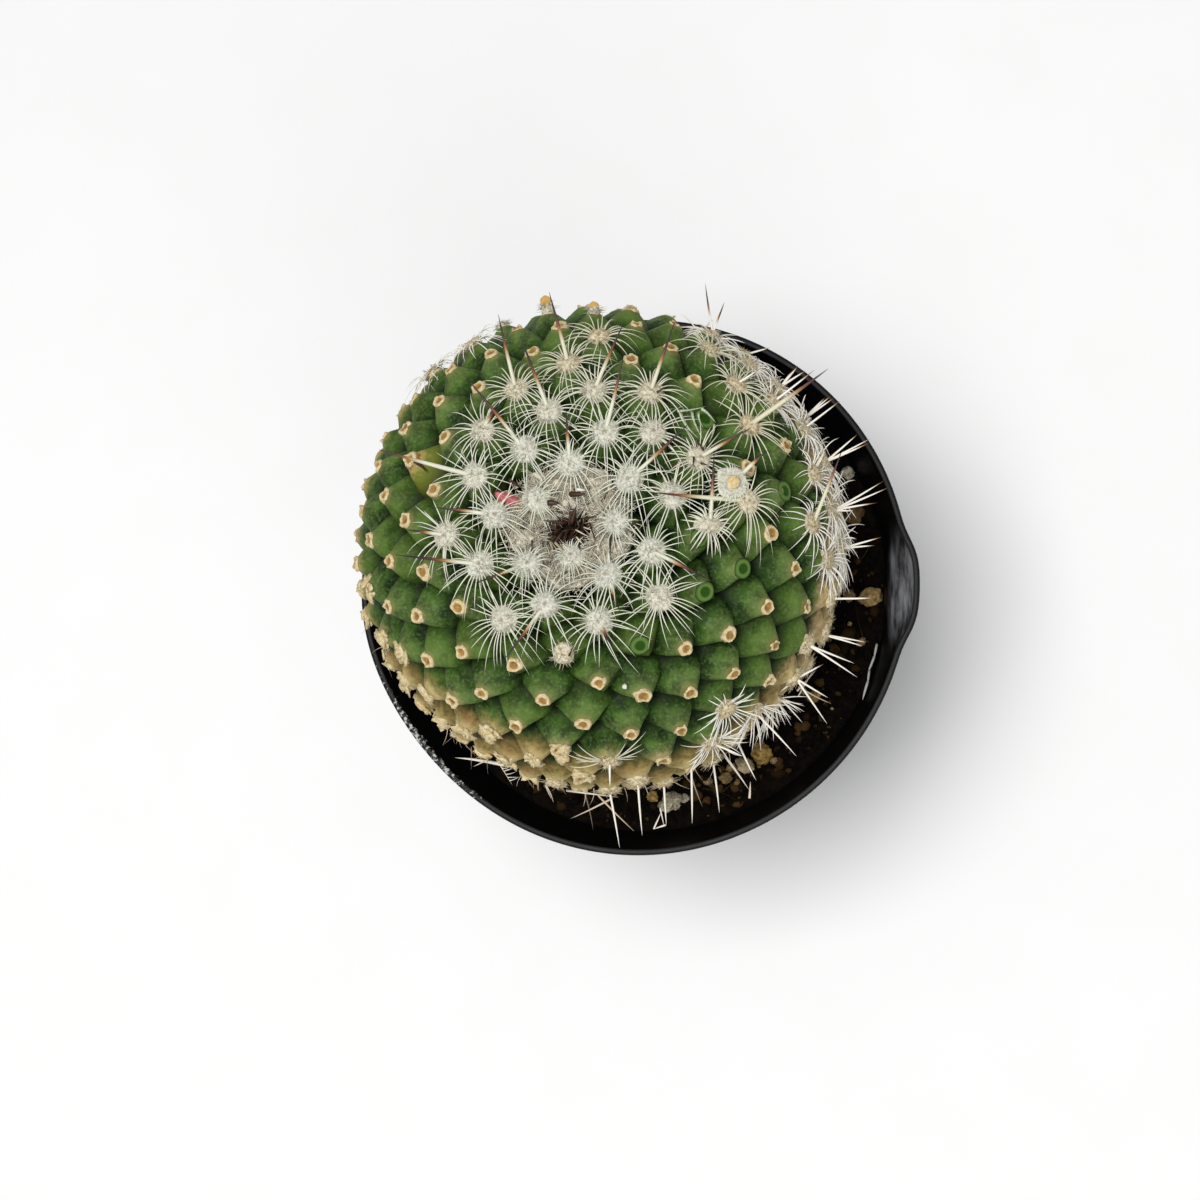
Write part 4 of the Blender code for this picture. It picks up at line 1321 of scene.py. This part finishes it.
def build_body(areoles, chance):
    """The green body: its core, with a tubercle under each areole."""
    bm, marks = new_piece_mesh()
    for vertex in copy_of(bm, as_shape(turned(core_outline(), CORE_SIDES))):
        vertex.co += PLANT
    outline = [(radius, -depth) for radius, depth in TUBERCLE_OUTLINE]
    shape = as_shape(turned(outline, TUBERCLE_SIDES, MM))
    for areole in areoles:
        width = chance.uniform(*TUBERCLE_WIDTHS)
        young = 0.6 + 0.4 * blend(0, 10, areole.index)
        sunk = APEX_SINK if areole.index == APEX else 0.0
        cork = cork_of(areole, chance)
        luck = TORN_LUCK if areole.index == TORN else chance.random()
        seed = Vector((areole.index, areole.index, 0)) * 1.7
        swell = SWELL + (CORK_SWELL - SWELL) * min(1.0, cork)
        lean = TUBERCLE_SHEAR * min(1.0, areole.along * 2)
        for vertex in copy_of(bm, shape):
            depth = -vertex.co.z
            wide = math.hypot(vertex.co.x, vertex.co.y)
            foot = blend(0, SQUEEZE_DEPTH, depth)
            across = upward = 0.0
            if wide > MERGE:
                cosine = vertex.co.x / wide
                sine = vertex.co.y / wide
                out = wide * (1 + (scale_reach(cosine, sine) - 1) * foot) * width * young
                out += swell * noise.noise(vertex.co / SWELL_SIZE + seed) * foot
                across = out * cosine
                upward = out * sine
            upward += depth * lean
            vertex.co = areole.tip + areole.sideways * across + areole.crownward * upward
            vertex.co -= areole.axis * (depth + sunk)
            vertex[marks] = (1 - depth / TUBERCLE_LENGTH, cork, luck)
    finish_piece("cactus_body", bm, cactus_skin(), "cactus", "cactus")


# The crown

FELT_OUTLINE_STEPS = 28
FELT_RADIUS = 8.6 * MM
FELT_RISE = 0.45 * MM
FELT_CURVE = 25
CLUMP = Vector((0.2 * MM, -0.6 * MM, 0))
CLUMP_WIDTH = 3.3 * MM
CLUMP_DEPTH = 2.8 * MM
CLUMP_BITS = 90
CLUMP_BIT_LENGTHS = (1.0, 2.6)
CLUMP_BIT_RADII = (0.1, 0.24)
FELT_FANS = 20
FAN_STEP = 1.75 * MM
FAN_START = 2.5
FAN_HAIRS = 70
FAN_HAIR_LENGTHS = (1.3, 2.8)
LOOSE_HAIRS = 1500
LOOSE_HAIR_LENGTHS = (0.7, 1.9)
FELT_HAIR_RADIUS = 0.09 * MM
TUFT_WIDTH = 1.5 * MM
TUFT_HEIGHT = 1.0 * MM
PARTING_DEPTH = 0.9 * MM
BROWN_TIPS = (  # start x, y, end x, y, radius and lift in mm, from the middle of the crown, and warmth
    (0.3, 0.4, 1.3, 2.9, 0.34, 1.1, 2), (1.7, 1.0, 4.2, 1.2, 0.2, 1.1, 2),
    (-0.5, 0.5, -3.6, 0.8, 0.22, 1.1, 2), (-1.0, -0.8, -2.7, -3.4, 0.3, 1.0, 2),
    (3.0, 0.4, 4.2, -2.8, 0.13, 1.0, 2), (6.2, -1.6, 6.3, -4.7, 0.2, 1.7, 2),
    (-2.7, 3.2, -1.0, 3.1, 0.42, 1.6, 2), (0.5, 4.3, 2.8, 4.1, 0.42, 1.9, 2),
    (-6.4, -0.3, -5.3, -0.5, 0.2, 1.5, 2), (9.4, -0.5, 11.1, -0.1, 0.18, 2.6, 2),
    (-4.9, -2.0, -4.9, -3.4, 0.16, 1.2, 2), (-7.9, 6.4, -6.4, 5.3, 0.3, 1.1, 2),
    (1.0, -0.5, 3.2, -1.8, 0.12, 1.1, 0.4), (2.0, -0.1, 3.8, -0.8, 0.1, 1.1, 0.4),
    (1.2, -1.6, 2.4, -2.9, 0.12, 1.1, 0.4), (-2.6, -2.1, -2.0, -3.7, 0.22, 1.1, 1.6),
    (-1.8, -2.3, -0.5, -3.7, 0.2, 1.1, 1.6), (1.2, -2.2, 1.9, -3.6, 0.2, 1.1, 2),
    # This pale needle is a painted highlight, laid over the thick brown tip beside it.
    (1.6, 4.8, 2.8, 4.6, 0.25, 2.2, 0.0),
)


def felt_tuft(x, y):
    """Where the felt gathers in tufts: 1 is the top of one, 0 the parting between two."""
    return 1 - min(1.0, 3.2 * abs(noise.noise(Vector((x, y, 0)) / TUFT_WIDTH)))


def felt_height(x, y):
    """Height of the felt over the middle of the crown's dip."""
    return FELT_RISE + FELT_CURVE * (x * x + y * y) - TUFT_HEIGHT * (1 - felt_tuft(x, y)) ** 2


def clump_reach(x, y):
    """How far a place lies from the dark clump's middle: 1 is its edge."""
    return math.hypot((x - CLUMP.x) / CLUMP_WIDTH, (y - CLUMP.y) / CLUMP_DEPTH)


def add_hair(bm, marks, shape, crown, x, y, direction, lengths, chance):
    """A hair that stands in the felt."""
    length = chance.uniform(*lengths) * MM
    root = crown + Vector((x, y, felt_height(x, y) - 0.1 * MM))
    bend = (direction.orthogonal() * chance.uniform(-0.4, 0.4) - UP * 0.25) * length
    add_needle(bm, marks, shape, root, direction, bend, length, FELT_HAIR_RADIUS, (0, 0))


def any_way(chance, low, high):
    """A random direction that rises between two slopes."""
    return (level(any_turn(chance)) + UP * chance.uniform(low, high)).normalized()


def build_crown(chance):
    """Grey felt in the dip, with painted shade in its partings and hollow, and young dark spines breaking
    through it.
    """
    crown = PLANT + UP * tip_surface(0.0)[1]
    steps = [FELT_RADIUS * step / FELT_OUTLINE_STEPS for step in range(FELT_OUTLINE_STEPS + 1)]
    outline = [(radius, 0) for radius in steps]
    outline += [(FELT_RADIUS - 0.4 * MM, -3 * MM), (0, -4 * MM)]
    bm, marks = new_piece_mesh()
    for vertex in copy_of(bm, as_shape(turned(outline, 72))):
        x, y, z = vertex.co
        edge = 1 + 0.2 * noise.noise(Vector((x, y, 0)) / (3 * MM))
        x *= edge
        y *= edge
        reach = clump_reach(x, y) * (1 + 0.6 * noise.noise(Vector((x, y, 0)) / (1.2 * MM)))
        # The felt sinks and takes painted shade in its partings and in the hollow under the dark clump.
        felt_painted_shade = max(1 - blend(0.75, 1.1, reach), 0.55 * blend(0.4, 1.0, 1 - felt_tuft(x, y)))
        top = felt_height(x, y) if z > -MERGE else z
        vertex.co = crown + Vector((x, y, top - PARTING_DEPTH * felt_painted_shade))
        vertex[marks] = (0, 0, felt_painted_shade)
    hair = needle(3, 2, 1.5)
    for fan in range(FELT_FANS):
        middle = level(fan * GOLDEN_TURN) * FAN_STEP * math.sqrt(fan + FAN_START)
        for _ in range(FAN_HAIRS):
            direction = any_way(chance, 0.1, 1.6)
            x = middle.x + direction.x * chance.uniform(0.1, 0.9) * MM
            y = middle.y + direction.y * chance.uniform(0.1, 0.9) * MM
            if clump_reach(x, y) > 0.9:
                add_hair(bm, marks, hair, crown, x, y, direction, FAN_HAIR_LENGTHS, chance)
    for _ in range(LOOSE_HAIRS):
        around = level(any_turn(chance))
        reach = math.sqrt(chance.random()) * FELT_RADIUS * 1.1
        x = reach * around.x
        y = reach * around.y
        if clump_reach(x, y) > 1:
            direction = any_way(chance, 0.1, 1.0)
            add_hair(bm, marks, hair, crown, x, y, direction, LOOSE_HAIR_LENGTHS, chance)
    finish_piece("crown_wool", bm, felt_material(), "cactus")

    bm, marks = new_piece_mesh()
    shape = needle(6, 4, 2.2)
    for start_x, start_y, end_x, end_y, radius, rise, warmth in BROWN_TIPS:
        start = Vector((start_x, start_y, 0)) * MM
        end = Vector((end_x, end_y, 0)) * MM
        start.z = felt_height(start.x, start.y) + rise * MM
        end.z = felt_height(end.x, end.y) + (rise + 0.3) * MM
        way = end - start
        root = crown + start
        tone = (2.0, warmth)
        add_needle(bm, marks, shape, root, way.normalized(), Vector(), way.length, radius * MM, tone)
    for _ in range(CLUMP_BITS):
        turn = any_turn(chance)
        reach = math.sqrt(chance.random()) * 0.8
        x = CLUMP.x + CLUMP_WIDTH * reach * math.cos(turn)
        y = CLUMP.y + CLUMP_DEPTH * reach * math.sin(turn)
        root = crown + Vector((x, y, felt_height(x, y) - 0.5 * MM))
        outward = Vector((x - CLUMP.x, y - CLUMP.y, 0)) / CLUMP_WIDTH
        direction = (outward * 2 + any_way(chance, 0.0, 0.9)).normalized()
        length = chance.uniform(*CLUMP_BIT_LENGTHS) * MM
        radius = chance.uniform(*CLUMP_BIT_RADII) * MM
        tone = (2.0, chance.uniform(1.9, 2.6))
        add_needle(bm, marks, shape, root, direction, Vector(), length, radius, tone)
    finish_piece("young_spines", bm, ivory_needle(), "cactus")


# The flower bud

BUD_NEIGHBOURS = (2, 7, 15)
BUD_RADIUS = 0.9 * MM
BUD_LENGTH = 4.8 * MM
BUD_LEAN = math.radians(48)
BUD_SINK = 3.4 * MM
BUD_OUTLINE = ((0, 0), (0.75, 0.05), (1.1, 0.25), (1.0, 0.55), (0.6, 0.82), (0.15, 0.98), (0, 1))
BUD_CORE = (0.8, 0.93)
PETALS = 9
PETAL_WIDTH = 0.75


def build_bud(areoles):
    """A closed bud: a core wrapped in pointed petals."""
    middle = sum((areoles[index].tip for index in BUD_NEIGHBOURS), Vector()) / len(BUD_NEIGHBOURS)
    outward = Vector((middle.x - PLANT.x, middle.y - PLANT.y, 0)).normalized()
    axis = outward * math.sin(BUD_LEAN) + UP * math.cos(BUD_LEAN)
    turn = UP.rotation_difference(axis).to_matrix()
    foot = middle - axis * BUD_SINK
    outline = [(radius * BUD_CORE[0] * BUD_RADIUS, height * BUD_CORE[1] * BUD_LENGTH)
               for radius, height in BUD_OUTLINE]
    bm, marks = new_piece_mesh()
    for vertex in copy_of(bm, as_shape(turned(outline[::-1], 16))):
        vertex[marks] = (vertex.co.z / BUD_LENGTH, 0, 0)
        vertex.co = foot + turn @ vertex.co
    petal = bmesh.new()
    bmesh.ops.create_grid(petal, x_segments=6, y_segments=9, size=1)
    petal_shape = as_shape(petal)
    for number in range(PETALS):
        for vertex in copy_of(bm, petal_shape):
            across = vertex.co.x
            up = (vertex.co.y + 1) / 2
            wide = math.sin(math.pi * min(1.0, 0.12 + 0.88 * up)) ** 0.6 if up < 1 else 0.0
            belly = 0.85 + 0.3 * math.sin(math.pi * up * 0.9) - 0.75 * up ** 3
            angle = number * GOLDEN_TURN + across * PETAL_WIDTH * wide
            radius = BUD_RADIUS * belly * (0.9 + 0.02 * number + 0.06 * (1 - abs(across)))
            vertex.co = foot + turn @ (level(angle) * radius + UP * up * BUD_LENGTH)
            vertex[marks] = (up, abs(across), 0)
    finish_piece("bud_petals", bm, petal_material(), "flower_bud", "flower_bud")


# Light, floor and camera

FLOOR_SIZE = 1.5
WORLD_STRENGTH = 0.36
LIGHTS = (  # name, place, size and power
    ("softbox", Vector((-0.1, -0.02, 0.95)), 0.4, 6.1),
    ("fill_light", Vector((0.35, -0.7, 0.6)), 0.8, 1.9),
)


def build_studio():
    """The white floor, the camera and two soft lights."""
    bm = bmesh.new()
    bmesh.ops.create_grid(bm, x_segments=2, y_segments=2, size=FLOOR_SIZE)
    mesh = as_shape(bm)
    mesh.materials.append(floor_material())
    floor = bpy.data.objects.new("floor", mesh)
    bpy.context.scene.collection.objects.link(floor)

    right, upward, back, place = camera_frame()
    camera_data = bpy.data.cameras.new("camera")
    camera_data.lens = CAMERA_LENS
    camera_data.clip_start = 1 * MM
    camera = bpy.data.objects.new("camera", camera_data)
    turn = Matrix((right, upward, back)).transposed().to_4x4()
    camera.matrix_world = Matrix.Translation(place) @ turn
    bpy.context.scene.collection.objects.link(camera)
    bpy.context.scene.camera = camera

    for name, spot, size, power in LIGHTS:
        light_data = bpy.data.lights.new(name, "AREA")
        light_data.size = size
        light_data.energy = power
        light = bpy.data.objects.new(name, light_data)
        aim = spot - UP * POT_HEIGHT
        light.matrix_world = Matrix.Translation(spot) @ aim.to_track_quat("Z", "Y").to_matrix().to_4x4()
        bpy.context.scene.collection.objects.link(light)

    world = bpy.data.worlds.new("world")
    bpy.context.scene.world = world
    world.use_nodes = True
    sky = {"Color": "#f2f4f6", "Strength": WORLD_STRENGTH}
    wire(world.node_tree, world.node_tree.nodes["Background"], sky)
    bpy.context.scene.view_settings.view_transform = "Standard"


def build():
    """Makes every piece, in an order that keeps the random draws the same."""
    chance = random.Random(SEED)
    areoles = spiral()
    spined = [areole for areole in areoles if is_spined(areole)]
    woolly = [areole for areole in areoles if is_spined(areole) or areole.index in (SMALL_TUFT, *STUBS)]
    bare = [areole for areole in areoles[1:] if areole not in woolly]
    shed = [areoles[SHED_NEAR]._replace(index=index, tip=areoles[SHED_NEAR].tip + offset * MM)
            for index, offset in SHED_PLACES.items()]
    by_index = dict(enumerate(areoles)) | {areole.index: areole for areole in shed}
    build_studio()
    build_pot()
    build_soil()
    build_body(areoles, chance)
    build_scars(bare, chance)
    build_rags(bare, chance)
    build_wool(woolly + shed, chance)
    build_radials(spined + shed, chance)
    build_centrals(by_index, chance)
    build_flank_web(spined, chance)
    build_foot_fibres(areoles, chance)
    build_details(by_index, chance)
    build_crown(chance)
    build_bud(areoles)


build()
